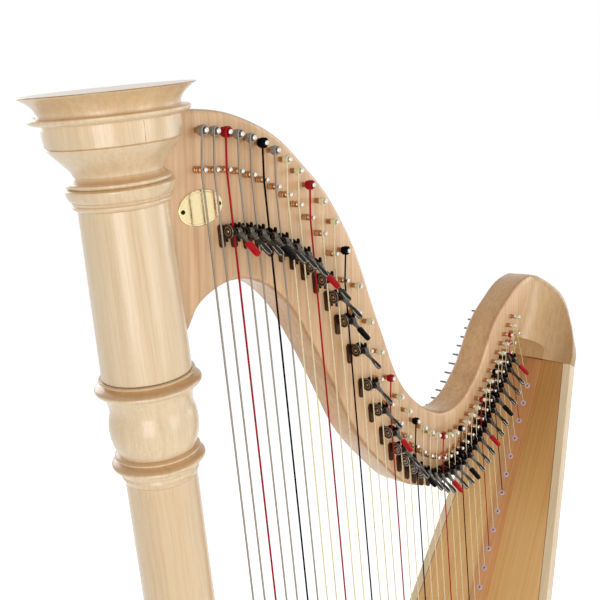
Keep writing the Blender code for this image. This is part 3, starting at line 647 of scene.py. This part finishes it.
def ring_of_points(bm, centre, side, across, radius, segments):
    return [bm.verts.new(centre + (side * c + across * s) * radius * MM) for c, s in circle(segments)]


def revolve(bm, start, end, profile, segments, capped=True):
    """A turned shape between two world points, from (radius, share of the way)."""
    axis = (end - start).normalized()
    side = axis.orthogonal().normalized()
    across = axis.cross(side)
    if capped:
        profile = [(0, profile[0][1])] + profile + [(0, profile[-1][1])]
    rings = []
    for radius, share in profile:
        centre = start + (end - start) * share
        rings.append(ring_of_points(bm, centre, side, across, radius, segments if radius else 1))
    join_rings(bm, rings, segments)


def turned_row(name, places, steps, material, slot, *spans):
    """Turned shapes at each (x, z): spans between two (x from there, y), with profiles."""
    def build(bm):
        for x, z in places:
            for (start_x, start_y), (end_x, end_y), profile in spans:
                revolve(bm, place(x + start_x, start_y, z), place(x + end_x, end_y, z), profile, steps)
    make_piece(name, material, slot, build)


def tube(bm, points, radius, segments):
    """A round tube along world points, with closed ends."""
    rings = []
    normal = (points[1] - points[0]).orthogonal().normalized()
    for k, point in enumerate(points):
        along = (points[min(k + 1, len(points) - 1)] - points[max(k - 1, 0)]).normalized()
        normal = (normal - along * normal.dot(along)).normalized()
        rings.append(ring_of_points(bm, point, normal, along.cross(normal), radius, segments))
    join_rings(bm, rings, segments, capped=True)


# Column

def bowed(start, end, bow, count):
    """Points from start to end, bulging to the outer side by bow; start is left out."""
    (r0, d0), (r1, d1) = start, end
    shares = [k / count for k in range(1, count + 1)]
    return [(r0 + t * (r1 - r0) + 4 * bow * t * (1 - t), d0 + t * (d1 - d0)) for t in shares]


def turned(bm, profile, grow=0):
    """A shape turned on the column's axis, from (radius, depth below the rim)."""
    line = [(radius + grow, depth / OVERALL_HEIGHT) for radius, depth in profile]
    revolve(bm, place(0, COLUMN_Y, 0), place(0, COLUMN_Y, -OVERALL_HEIGHT), line, TURNED_STEPS)


def capital_profile():
    cove = bowed(CAPITAL_LIP[-1], (62, 17.4), -3.6, 14)
    bell = smooth_line([CAPITAL_BAND[-1]] + CAPITAL_BELL, 3)
    return CAPITAL_LIP + cove + smooth_line(CAPITAL_BEAD, 4) + CAPITAL_BAND + bell[1:]


def collar_profile():
    radius, depth = CAPITAL_BELL[-1]
    upper = smooth_line([(radius, depth + 0.02)] + COLLAR_UPPER_RING, 4)
    lower = smooth_line(COLLAR_LOWER_RING, 4)
    return upper + lower + [(44.8, 93.2), (45.2, 94)] + bowed((42.6, 95.4), (41, 101.4), 2.4, 8)


def knop_profile():
    profile = bowed((43.2, 258 + GAP), (43.4, 261.6), 1.8, 6)
    profile += [(41.8, 262.6)] + bowed((41.8, 263.4), (43.6, 274), 7.2, 14)
    profile += bowed((43, 275), (39.3, 293), -1.2, 8) + bowed((39.3, 293), (37.2, 332), 3.8, 12)
    profile += [(36.6, 333)] + bowed((38.8, 334.2), (38.8, 337.6), 1.7, 6)
    profile += [(37.6, 338.4)] + bowed((37.6, 339.2), (39, 349), 6, 14)
    return profile + [(37.8, 352), (36.6, 353.5), (37, 356.5), (35.6, 358), (34.6, 362)]


def foot_profile():
    top = -BASE_TOP - COLUMN_FOOT_HEIGHT
    profile = [(35.4, top), (37.6, top + 2)]
    profile += bowed((37.6, top + 2), (37, top + 9), 1.8, 6)
    profile += bowed((36.4, top + 10), (41.4, top + 24), -1.6, 8)
    return profile + bowed((42, top + 25), (44, top + COLUMN_FOOT_HEIGHT - GAP), 2.6, 10)


UPPER_SHAFT = [(39.9, 101.4 + GAP), (40.8, 170), (42, 258)]
LOWER_SHAFT = [(34.4, 362 + GAP), (35, 900), (34.7, -BASE_TOP - COLUMN_FOOT_HEIGHT - GAP)]


def dress_column():
    profiles = {"capital": capital_profile(), "column_collar": collar_profile(), "column_upper": UPPER_SHAFT,
                "column_knop": knop_profile(), "column_lower": LOWER_SHAFT, "column_foot": foot_profile()}
    for node, profile in profiles.items():
        make_piece("turned_" + node, "column_maple", "maple", turned, profile, nodes=[node], angle=30)

    out = Vector((cos(GLUE_LINE_ANGLE), sin(GLUE_LINE_ANGLE), 0))
    side = Vector((-out.y, out.x, 0)) * 0.22 * MM
    line = [place(0, COLUMN_Y, -depth) + out * radius * MM
            for radius, depth in ((60.35, 26.6), (60.55, 33), (59.5, 44.3))]
    outline = [point - side for point in line] + [point + side for point in line[::-1]]
    make_piece("capital_glue_line", "purfling_wood", "maple", prism, outline, out * -0.5 * MM)

    # A thin dark ring round the capital's lip: a painted shade line at the rim's edge.
    outer = CAPITAL_LIP[1][0] - 0.03
    inner = outer - 1.2
    lip = [(inner, 0), (outer, 0.15), (outer, 0.8), (inner, 1), (inner, 0)]
    make_piece("capital_lip_shade_line", "purfling_wood", "maple", revolve, place(0, COLUMN_Y, -0.25),
               place(0, COLUMN_Y, -1), lip, TURNED_STEPS, False)


# Neck and shoulder

def neck_blank(name):
    outline = smooth_line(NECK_TOP, 6) + smooth_line(NECK_BOTTOM, 6)
    curve = bpy.data.curves.new(name, "CURVE")
    curve.dimensions = "2D"
    curve.fill_mode = "BOTH"
    curve.extrude = ((NECK_FAR - NECK_NEAR) / 2 - NECK_EDGE_RADIUS) * MM
    curve.bevel_depth = NECK_EDGE_RADIUS * MM
    curve.bevel_resolution = 4
    curve.offset = -NECK_EDGE_RADIUS * MM
    spline = curve.splines.new("POLY")
    spline.points.add(len(outline) - 1)
    for point, (x, z) in zip(spline.points, outline):
        point.co = (x * MM, z * MM, 0, 1)
    spline.use_cyclic_u = True
    holder = link(name, curve)
    holder.rotation_euler = (pi / 2, 0, 0)
    holder.location = place(0, (NECK_NEAR + NECK_FAR) / 2, 0)
    blank = settle(holder)
    edit_mesh(blank, lambda bm: bmesh.ops.remove_doubles(bm, verts=bm.verts, dist=WELD))
    edit_mesh(blank, face_outwards)
    return blank


def dress_neck():
    neck = neck_blank("arched_neck")
    profile = [(77, -6)] + capital_profile()[1:] + collar_profile() + UPPER_SHAFT
    cut(neck, "DIFFERENCE", turned, profile, GAP)
    limit = BLOCK_NECK_DEPTH - GAP
    behind = [(-240, limit), (-240, limit + 90), (60, limit + 90), (60, limit)]
    cut(neck, "DIFFERENCE", board_prism, behind, "y", 0, 70)
    finish_piece(neck, "neck_maple", "maple", nodes=["neck"], angle=30)


def back_arc(s, steps):
    """The body's round back at s, as (y, n)."""
    radius = half_width(s) / sin(SHELL_HALF_ANGLE)
    centre = SHELL_STRAIGHT_EDGE - radius * cos(SHELL_HALF_ANGLE)
    return [(radius * sine, centre + radius * cosine)
            for cosine, sine in arc(-SHELL_HALF_ANGLE, SHELL_HALF_ANGLE, steps)]


def block_arch():
    """The shoulder block seen square to the soundboard, as (y, s)."""
    width = half_width(BOARD_TOP_S)
    far_side = [(width - 1, -60), (width, BOARD_TOP_S)]
    return [(-width, BOARD_TOP_S)] + smooth_line(BLOCK_ARCH, 8) + far_side


def block_section():
    """The shoulder block seen along the soundboard, as (y, n)."""
    width = half_width(BOARD_TOP_S)
    reach = width + NECK_NEAR
    hollow = [(-width + reach * c, BLOCK_NECK_DEPTH * (1 - s)) for c, s in arc(0, pi / 2, 32)]
    far_side = [(width, 0), (NECK_FAR, -30), (NECK_FAR, BLOCK_NECK_DEPTH)]
    return hollow + back_arc(BOARD_TOP_S, 32) + far_side


def block_side():
    """The shoulder block seen from the side, as (s, n)."""
    back = back_arc(BOARD_TOP_S, 2)[1][1] + 1
    return [(BOARD_TOP_S, back), (BOARD_TOP_S, BLOCK_NECK_DEPTH)] + smooth_line(BLOCK_SIDE, 6)


def block_notch():
    """The room round the shortest strings, as (y, s): half an ellipse, open below."""
    arch = [(NOTCH_CENTRE_Y - NOTCH_HALF_WIDTH * c, BOARD_TOP_S - NOTCH_HEIGHT * s)
            for c, s in arc(0, pi, 40)]
    return [(arch[0][0], BOARD_TOP_S + 10)] + arch + [(arch[-1][0], BOARD_TOP_S + 10)]


def slice_mesh(bm, normal, low, high):
    """Score the mesh along planes square to normal, every few millimetres."""
    for distance in range(low, high, CROWN_STEP):
        everything = bm.verts[:] + bm.edges[:] + bm.faces[:]
        bmesh.ops.bisect_plane(bm, geom=everything, dist=WELD, plane_no=normal,
                               plane_co=BOARD_ORIGIN + normal * distance * MM)


def lean_in(bm):
    """Narrow the block behind the soundboard's plane, the more the higher up it is."""
    slice_mesh(bm, BOARD_BACK, 0, 36)
    for vert in bm.verts:
        high = BOARD_TOP_S - (vert.co - BOARD_ORIGIN).dot(BOARD_DOWN) / MM
        deep = max(0, (vert.co - BOARD_ORIGIN).dot(BOARD_BACK) / MM)
        share = min(1, max(0, high / LEAN_HEIGHT))
        share *= share * (3 - 2 * share)
        vert.co.y *= 1 - LEAN * share * deep * deep / (deep + LEAN_START_DEPTH)


def soften_crown(bm):
    """Round the creases of the crown by drawing its points to their neighbours. Those
    that meet the neck stay in its plane."""
    slice_mesh(bm, BOARD_DOWN, -162, -58)
    slice_mesh(bm, BOARD_BACK, -38, 52)
    slice_mesh(bm, Vector((0, 1, 0)), -54, 54)
    for _ in range(CROWN_ROUNDS):
        moved = []
        for vert in bm.verts:
            s = (vert.co - BOARD_ORIGIN).dot(BOARD_DOWN) / MM
            share = min(1, max(0, (CROWN_LOW_S - s) / (CROWN_LOW_S - CROWN_HIGH_S)))
            if share == 0:
                continue
            around = [edge.other_vert(vert).co for edge in vert.link_edges]
            pull = (sum(around, Vector()) / len(around) - vert.co) * 0.5 * share
            if (vert.co - BOARD_ORIGIN).dot(BOARD_BACK) / MM < BLOCK_NECK_DEPTH + 0.1:
                pull -= BOARD_BACK * pull.dot(BOARD_BACK)
            moved.append((vert, vert.co + pull))
        for vert, target in moved:
            vert.co = target


def dress_shoulder():
    front = BLOCK_NECK_DEPTH - 10
    shoulder = mesh_object("hollowed_shoulder", board_prism, block_arch(), "n", front, 70)
    cut(shoulder, "INTERSECT", board_prism, block_section(), "s", -30, -180)
    cut(shoulder, "INTERSECT", board_prism, block_side(), "y", -75, 75)
    cut(shoulder, "DIFFERENCE", board_prism, block_notch(), "n", front, NOTCH_FLOOR)
    edit_mesh(shoulder, lean_in)
    edit_mesh(shoulder, soften_crown)
    finish_piece(shoulder, "block_maple", "maple", nodes=["shoulder_block"], angle=28)


# Body and soundboard

def dress_shell():
    top = BOARD_TOP_S + GAP
    start = BOARD_THICKNESS + GAP

    def surface(bm):
        rows = []
        for k in range(SHELL_ROWS + 1):
            s = top + (SHELL_BOTTOM_S - top) * k / SHELL_ROWS
            section = [(-half_width(s), start)] + back_arc(s, 48) + [(half_width(s), start)]
            rows.append([bm.verts.new(on_board(y, s, n)) for y, n in section])
        join_rings(bm, rows, len(rows[0]) - 1)
    shell = link("round_back", bpy.data.meshes.new("round_back"))
    edit_mesh(shell, surface)
    modify(shell, "SOLIDIFY", thickness=SHELL_THICKNESS * MM, offset=1)

    def holes(bm):
        for s, half_length, half_wide in SOUND_HOLES:
            depth = back_arc(s, 2)[1][1]
            outline = [(half_wide * cosine, s + half_length * sine) for cosine, sine in circle(48)]
            board_prism(bm, outline, "n", 0.5 * depth, depth + 20)
    cut(shell, "DIFFERENCE", holes)
    low = BASE_TOP - 200
    below = [place(x, y, low) for x, y in rectangle(-150, 450, -260, 260)]
    cut(shell, "DIFFERENCE", prism, below, Vector((0, 0, 200 + GAP)) * MM)
    finish_piece(shell, "body_maple", "maple", nodes=["body_shell"], angle=30)


def board_edge(side, inset, bottom, steps=24):
    top = BOARD_TOP_S + GAP
    places = [top + (bottom - top) * k / steps for k in range(steps + 1)]
    return [(side * (half_width(s) - inset), s) for s in places]


def board_ribbon(side, outer, inner, bottom):
    """A ribbon along the board's edge, as (y, s), from its outer and inner insets."""
    return board_edge(side, outer, bottom) + board_edge(side, inner, bottom)[::-1]


def dress_board():
    band_bottom = BOARD_BOTTOM_S + GAP + BINDING_WIDTH
    inset = EDGE_BAND_WIDTH + INNER_LINE_WIDTH
    for name, side in SIDES.items():
        half = board_edge(side, inset + INLAY_GAP, BOARD_BOTTOM_S)
        half += [(side * INLAY_GAP, BOARD_BOTTOM_S), (side * INLAY_GAP, BOARD_TOP_S + GAP)]
        line = board_ribbon(side, EDGE_BAND_WIDTH, inset, BOARD_BOTTOM_S)
        band = board_ribbon(side, 0, EDGE_BAND_WIDTH - INLAY_GAP, band_bottom)
        for piece, outline, front, material, slot, nodes in (
                ("board_half_", half, 0, "board_spruce", "soundboard_spruce", ["soundboard"]),
                ("inlaid_line_", line, -INLAY_GAP, "purfling_wood", "binding", []),
                ("edge_band_", band, 0, "binding_maple", "binding", ["edge_binding"])):
            make_piece(piece + name, material, slot, board_prism, outline, "n", front, BOARD_THICKNESS,
                       nodes=nodes if side < 0 else ())

    outline = rectangle(-STRIP_HALF_WIDTH, STRIP_HALF_WIDTH, STRIP_TOP_S, STRIP_BOTTOM_S)
    strip = [on_board(y, s, STRIP_FRONT) for y, s in outline]
    inwards = on_board(0, 0, -GAP) - on_board(0, 0, STRIP_FRONT)
    make_piece("string_strip", "strip_wood", "string_strip", prism, strip, inwards, 0.8, nodes=["strings"])

    def eyelet_row(bm, back, front, profile, steps):
        for s in map(eyelet_s, STRINGS):
            revolve(bm, on_board(0, s, back), on_board(0, s, front), profile, steps)
    make_piece("eyelets", "eyelet_lilac", "eyelets", eyelet_row, -2.7, -4, [
        (4.1, 0), (4.1, 0.45), (3.5, 0.9), (2.7, 1), (1.7, 0.8), (1.2, 0.1)], 24)
    # Dark discs in the eyelets' recesses: painted shade of their holes.
    make_piece("eyelet_shade_discs", "eyelet_shade_disc", "eyelets", eyelet_row, -2.6, -2.95, [(1.15, 0), (1.15, 1)], 16)


# Strings, pins and coils

def string_kind(string):
    note = note_of(string)
    if string <= 2 or (string <= LAST_WOUND and note not in "CF"):
        return "wound"
    return {"C": "red", "F": "black"}.get(note, "plain")


# Each kind's material, slot and growth over its solid.
STRING_LOOKS = {"wound": ("string_wound", "wound_strings", 1.12), "red": ("string_red", "strings", 1.25),
                "black": ("string_black", "strings", 1.25), "plain": ("string_nylon", "strings", 1)}


def shown_radius(string):
    """The string's radius as it looks, thicker for its colour or winding."""
    return string_radius(string) * STRING_LOOKS[string_kind(string)][2]


def string_points(string):
    """The coil round the tuning pin, then the free string to its eyelet."""
    radius = shown_radius(string)
    x, z = PINS[string][:2]
    wrap = PIN_RADIUS + 2 * radius - TREBLE_STRING_RADIUS
    points = []
    for k in range(COIL_STEPS + 1):
        turns = COIL_TURNS * (1 - k / COIL_STEPS)
        angle = pi - 2 * pi * turns
        points.append(place(x + wrap * cos(angle), turns * radius * COIL_PITCH, z + wrap * sin(angle)))
    return points + [place(x, 0, z) for x, z in string_route(string)]


def dress_strings():
    for kind, (material, slot, _) in STRING_LOOKS.items():
        def build(bm):
            for string in STRINGS:
                if string_kind(string) == kind:
                    tube(bm, string_points(string), shown_radius(string), 8)
        make_piece(kind + "_strings", material, slot, build, angle=60)


def dress_pins():
    tuning = [places[:2] for places in PINS.values()]
    bridge = [places[2:] for places in PINS.values()]
    middle = (0, PIN_FAR - PIN_END)
    turned_row("tuning_pins", tuning, 16, "pin_nickel", "tuning_pins", (
        (0, PIN_NEAR), middle, [(1.9, 0), (2.4, 0.008), (2.5, 0.02), (2.5, 1)]))
    turned_row("tuning_pin_roots", tuning, 16, "bridge_pin_bronze", "tuning_pins", (
        (0, NECK_NEAR + 0.5), (0, NECK_NEAR - PIN_ROOT),
        [(2.85, 0), (2.85, 0.3), (2.65, 0.36), (2.85, 0.42), (2.8, 1)]))
    turned_row("tuning_pin_ends", tuning, 16, "pin_end_steel", "tuning_pins", (
        middle, (0, PIN_FAR), [(2.5, 0), (2.5, 0.08), (1.5, 0.14), (1.3, 0.86), (1, 0.9)]))
    turned_row("bridge_pin_bodies", bridge, 16, "bridge_pin_bronze", "bridge_pins", (
        (0, NECK_NEAR + 1), (0, BRIDGE_NEAR), [
            (3.3, 0), (3.4, 0.18), (3, 0.2), (3.4, 0.23), (3.4, 0.36), (3, 0.38), (3.4, 0.41),
            (3.2, 0.53), (2.2, 0.6)]))
    turned_row("bridge_pin_tips", bridge, 16, "pin_nickel", "bridge_pins", ((0, 4.5), (0, BRIDGE_NEAR), [
        (0, 0), (2.1, 0.02), (2.1, 0.4), (1.8, 0.52), (2.1, 0.62), (2.4, 0.76), (2.2, 0.9), (1.3, 1)]))


# Levers

def yz_plate(bm, x, z, left, right, outline, edge=0.25):
    """A plate across x, from an outline of (y, height over the axle)."""
    points = [place(x + left, y, z + up) for y, up in outline]
    prism(bm, points, Vector((right - left, 0, 0)) * MM, edge)


# Outlines as (y, height over the axle). A cheek is a round hub with a nose in front.
CHEEK = [(HUB_Y + HUB_RADIUS * c, HUB_RADIUS * s) for c, s in arc(radians(110), radians(-90), 14)]
CHEEK += [(AXLE_Y + NOSE_RADIUS * c, NOSE_RADIUS * s) for c, s in arc(radians(-110), radians(-250), 8)]
BRACKET_BACK = [(NECK_NEAR - 0.2, -5), (NECK_NEAR - 0.2, 4.4), (5, 4.4), (FRET_FRONT, 1), (5, -5)]
HORN = [(-6.6, 1.2), (-6.8, 6.6), (-5.9, 8), (-4.4, 8), (-3.5, 6.6), (-3.3, 1.2)]
# The foot plate, as (side, height over the axle).
FOOT_PLATE = [(3.5 * c, -4.9 + (8.1 if s >= 0 else -8.1) + 3.5 * s) for c, s in circle(24)]


def dress_brackets():
    def cheeks(bm):
        for string, (x, z) in AXLES.items():
            for left in (-BRACKET_HALF_WIDTH, BRACKET_SLOT):
                yz_plate(bm, x, z, left, left + BRACKET_HALF_WIDTH - BRACKET_SLOT, CHEEK)
            for y in (-1.2, 5.6) if string <= LAST_LONG_HANDLE else ():
                leg = rectangle(y, y + 2.6, -3, -BRACKET_BELOW)
                yz_plate(bm, x, z, -BRACKET_HALF_WIDTH, -BRACKET_SLOT, leg, 0.4)
            yz_plate(bm, x, z, -BRACKET_SLOT, BRACKET_SLOT, BRACKET_BACK)
    make_piece("lever_brackets", "hub_bronze", "lever_metal", cheeks, angle=40)

    def horns(bm):
        for x, z in AXLES.values():
            yz_plate(bm, x, z, BRACKET_SLOT, BRACKET_HALF_WIDTH, HORN, 0.35)
    make_piece("lever_horns", "horn_metal", "lever_metal", horns)

    def feet(bm):
        for x, z in AXLES.values():
            outline = [place(x + FLANGE_X + side, NECK_NEAR, z + up) for side, up in FOOT_PLATE]
            prism(bm, outline, Vector((0, -2.5, 0)) * MM, 0.5)
    make_piece("lever_foot_plates", "flange_bronze", "lever_metal", feet)

    def lever_row(name, steps, material, *spans):
        turned_row(name, AXLES.values(), steps, material, "lever_metal", *spans)

    def drum(radius, left, right):
        profile = [(radius - 0.2, 0), (radius, 0.3), (radius, 0.7), (radius - 0.2, 1)]
        return (right, HUB_Y), (left, HUB_Y), profile

    def head(side):
        out = side * (BRACKET_HALF_WIDTH - 0.5)
        return (out, AXLE_Y), (out + side, AXLE_Y), [(1.9, 0), (1.9, 0.7), (1.4, 1)]

    out = -BRACKET_HALF_WIDTH
    lever_row("lever_hub_discs", 32, "hub_bronze", ((out, HUB_Y), (out - 0.9, HUB_Y), [
        (6.8, 0), (7, 0.5), (6.3, 1), (4.9, 0.95), (4.5, 0.45), (3.7, 0.45), (3.3, 0.9), (2.5, 0.9)]))
    lever_row("lever_hub_drums", 32, "hub_drum_steel",
              drum(7.45, -5, -4.5), drum(7.45, -3.7, -3.2), drum(5, -2.9, -1.3))
    lever_row("lever_hub_screws", 16, "hub_screw_bronze", ((out - 0.7, HUB_Y), (out - 1.6, HUB_Y), [
        (2, 0), (2, 0.4), (1.5, 1), (0.6, 1), (0.5, 0.5)]))
    lever_row("lever_axle_heads", 14, "horn_metal", head(-1), head(1))


def handle_size(string):
    """The handle's length, and its width as a share of its solid's."""
    return LONG_HANDLE if string <= LAST_LONG_HANDLE else SHORT_HANDLE


def handle_plate(bm, string, outline, low, thickness, edge=0):
    """A plate along the handle, from (side, distance out), low over the handle's middle."""
    x, z = AXLES[string]
    origin = place(x, AXLE_Y, z)
    points = [origin + Vector((side * MM, 0, 0)) + HANDLE_OUT * along + HANDLE_ACROSS * low
              for side, along in outline]
    prism(bm, points, HANDLE_ACROSS * thickness, edge)


def narrowed(outline, share):
    return [(side * share, along) for side, along in outline]


def both_sides(side, share):
    """A closed outline from its one side, narrowed."""
    return narrowed(side, share) + narrowed(side[::-1], -share)


def tongue_outline(string):
    """The handle seen from above: wide at the axle, waisted, with a rounded end."""
    length, slim = handle_size(string)
    side = smooth_line([(3.7, 3.2), (3.6, 4.5), (2.5, 8.5), (1.9, 12), (2.3, 15.5), (3.3, 19.5),
                        (3.6, 23)], 2)
    end = [(3.6 * c, length - 2.6 + 2.6 * s) for c, s in arc(0, pi, 8)]
    return narrowed(side + end, slim) + narrowed(side[::-1], -slim)


def lever_body(bm, string):
    x, z = AXLES[string]
    cam = [(3.5, 0), (CAM_RADIUS, 0.12), (CAM_RADIUS, 0.88), (3.5, 1)]
    revolve(bm, place(x - CAM_HALF_WIDTH, AXLE_Y, z), place(x + CAM_HALF_WIDTH, AXLE_Y, z), cam, 20)
    handle_plate(bm, string, rectangle(-2.3, 2.3, 1, 4.5), -1.2, 2.4, 0.3)
    handle_plate(bm, string, tongue_outline(string), -1, 2, 0.35)


def lever_panel(bm, string):
    """The darker sunk panel on the handle's upper side."""
    length, slim = handle_size(string)
    side = [(1.3, 12.5), (1.7, 15.5), (2.7, 19.5), (3, 23), (3, length - 3), (2, length - 1)]
    handle_plate(bm, string, both_sides(side, slim), 0.9, 0.18)


def lever_edge_highlight(bm, string):
    """The bright rim round the sunk panel, a painted highlight along the handle's edge."""
    length, slim = handle_size(string)
    inner = [(2.75, 19.5), (3.05, 23), (3.05, length - 3), (2, length - 0.95)]
    outer = [(3.3, 19.5), (3.6, 23), (3.6, length - 2.6), (2.5, length - 0.7), (1.2, length - 0.1)]
    for share in (slim, -slim):
        handle_plate(bm, string, narrowed(outer + inner[::-1], share), 0.85, 0.35)


def lever_sleeve(bm, string):
    length, slim = handle_size(string)
    far = length + 0.8
    side = [(4, far - 17.6), (4.6, far - 15.8), (4.1, far - 3.2), (3, far - 0.7), (1.5, far)]
    handle_plate(bm, string, both_sides(side, SLEEVE_GROWTH * slim), -1.9, 3.8, 1.2)


def dress_levers():
    sleeves = {"C": ("sleeve_red", "lever_red"), "F": ("sleeve_black", "lever_black")}
    for string in LEVER_STRINGS:
        def add(name, build, material, slot, **more):
            make_piece("%s_%02d" % (name, string), material, slot, build, string, body=node, **more)
        node = "lever_%02d" % string
        add("handle", lever_body, "lever_dark_metal", "lever_metal", nodes=[node], angle=40)
        if note_of(string) in sleeves:
            add("sleeve", lever_sleeve, *sleeves[note_of(string)], angle=50)
        else:
            add("panel", lever_panel, "lever_panel_metal", "lever_metal")
            add("rim", lever_edge_highlight, "lever_rim_metal", "lever_metal")


# Plate, base and feet

def dress_plate():
    front = NECK_NEAR - GAP - PLATE_THICKNESS

    def oval(bm):
        rings = []
        for grow, y in ((0, front + PLATE_THICKNESS), (0, front + 0.5), (-0.6, front),
                        (-1.8, front), (-2.1, front + 0.2), (-2.5, front + 0.2), (-2.8, front)):
            wide, high = PLATE_HALF_LENGTH + grow, PLATE_HALF_HEIGHT + grow
            points = [place(PLATE_X + wide * c, y, PLATE_Z + high * s) for c, s in circle(64)]
            rings.append([bm.verts.new(point) for point in points])
        join_rings(bm, rings, 64, capped=True)
    make_piece("oval_plate", "plate_brass", "brass_plate", oval, nodes=["name_plate"], angle=25)

    profile = [(2.2, 0), (2.2, 0.2), (1.8, 0.75), (1.1, 1), (0.7, 0.6)]
    for side_name, side in (("left", -1), ("right", 1)):
        x = PLATE_X + side * SCREW_SPREAD
        node = "plate_screw_" + side_name
        make_piece("round_" + node, "screw_black", "brass_plate", revolve, place(x, front + 0.2, PLATE_Z),
                   place(x, front - 1.4, PLATE_Z), profile, 20, nodes=[node])


def dress_base():
    half = smooth_line(BASE_SIDE, 8)
    bottom = BASE_TOP - BASE_THICKNESS
    outline = [place(x, y, bottom) for x, y in half + [(x, -y) for x, y in half[::-1]]]
    base = mesh_object("rounded_base", prism, outline, Vector((0, 0, BASE_THICKNESS * MM)))
    modify(base, "BEVEL", width=5 * MM, segments=5, limit_method="ANGLE", angle_limit=radians(60))
    finish_piece(base, "base_maple", "maple", nodes=["base"])

    profile = [(16.5, 0), (18, 0.06), (18.8, 0.3), (19.4, 0.33), (20.6, 0.62), (21.2, 0.66),
               (22, 0.96), (21.6, 1)]
    for end, (x, y) in FEET.items():
        for name, side in SIDES.items():
            node = "foot_%s_%s" % (end, name)
            make_piece("turned_" + node, "foot_rubber", "foot_rubber", revolve,
                       place(x, side * y, -OVERALL_HEIGHT), place(x, side * y, bottom - GAP),
                       profile, 40, nodes=[node])


def dress_inside():
    for node in ("inner_string_rib", "body_rib_upper", "body_rib_middle", "body_rib_lower"):
        paint(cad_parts[node], "inner_spruce")


# Camera, light and floor

def make_camera():
    lens = bpy.data.cameras.new("camera")
    lens.lens = CAMERA_LENS
    lens.sensor_width = 36
    lens.shift_y = CAMERA_SHIFT_Y
    camera = link("camera", lens)
    matrix = Matrix(CAMERA_AXES).transposed().to_4x4()
    matrix.translation = CAMERA_PLACE
    camera.matrix_world = matrix
    bpy.context.scene.camera = camera


def soft_light(name, at, towards, size, power):
    lamp = bpy.data.lights.new(name, "AREA")
    lamp.shape = "RECTANGLE"
    lamp.size, lamp.size_y = size
    lamp.energy = power
    light = link(name, lamp)
    light.location = at
    light.rotation_euler = (Vector(towards) - Vector(at)).to_track_quat("-Z", "Y").to_euler()


def white_for_camera(tree):
    """1 for rays that show the backdrop: seen by the camera, in gloss or through glass."""
    path = add_node(tree, "ShaderNodeLightPath")
    seen = math_node(tree, "MAXIMUM", path.outputs["Is Camera Ray"], path.outputs["Is Glossy Ray"])
    return math_node(tree, "MAXIMUM", seen, path.outputs["Is Transmission Ray"])


def make_world():
    world = bpy.data.worlds.new("studio")
    bpy.context.scene.world = world
    world.use_nodes = True
    tree = world.node_tree
    strength = math_node(tree, "ADD", math_node(tree, "MULTIPLY", white_for_camera(tree), 0.6), 0.4)
    feed(tree, tree.nodes["Background"], {"Color": (1, 1, 1, 1), "Strength": strength})


def make_floor():
    floor = mesh_object("floor", lambda bm: bmesh.ops.create_grid(bm, x_segments=1, y_segments=1, size=12))
    tree, shader = node_material("floor_white")
    feed(tree, shader, {"Base Color": (0.86, 0.86, 0.86, 1), "Roughness": 0.9})
    strength = math_node(tree, "MULTIPLY", white_for_camera(tree), 0.65)
    glow = add_node(tree, "ShaderNodeEmission", {"Strength": strength})
    total = add_node(tree, "ShaderNodeAddShader", {0: shader.outputs[0], 1: glow.outputs[0]})
    tree.links.new(total.outputs[0], tree.nodes["Material Output"].inputs["Surface"])
    paint(floor, "floor_white")


def make_studio():
    make_camera()
    make_world()
    make_floor()
    soft_light("key", (-2.4, -1.6, 1.5), (-0.1, 0, 1.25), (1.3, 2), 33)
    soft_light("fill", (0.5, -2.7, 1.5), (0, 0, 1.2), (1.6, 2), 21)
    soft_light("side", (2.4, -0.9, 1.6), (0.1, 0, 1.2), (1.2, 1.8), 13)
    soft_light("back", (0.3, 2.6, 2), (0, 0, 1.2), (1.4, 1.4), 14)
    bpy.context.scene.view_settings.view_transform = "Standard"


make_studio()
for dress in (dress_column, dress_neck, dress_shoulder, dress_shell, dress_board, dress_strings, dress_pins,
              dress_brackets, dress_levers, dress_plate, dress_base, dress_inside):
    dress()
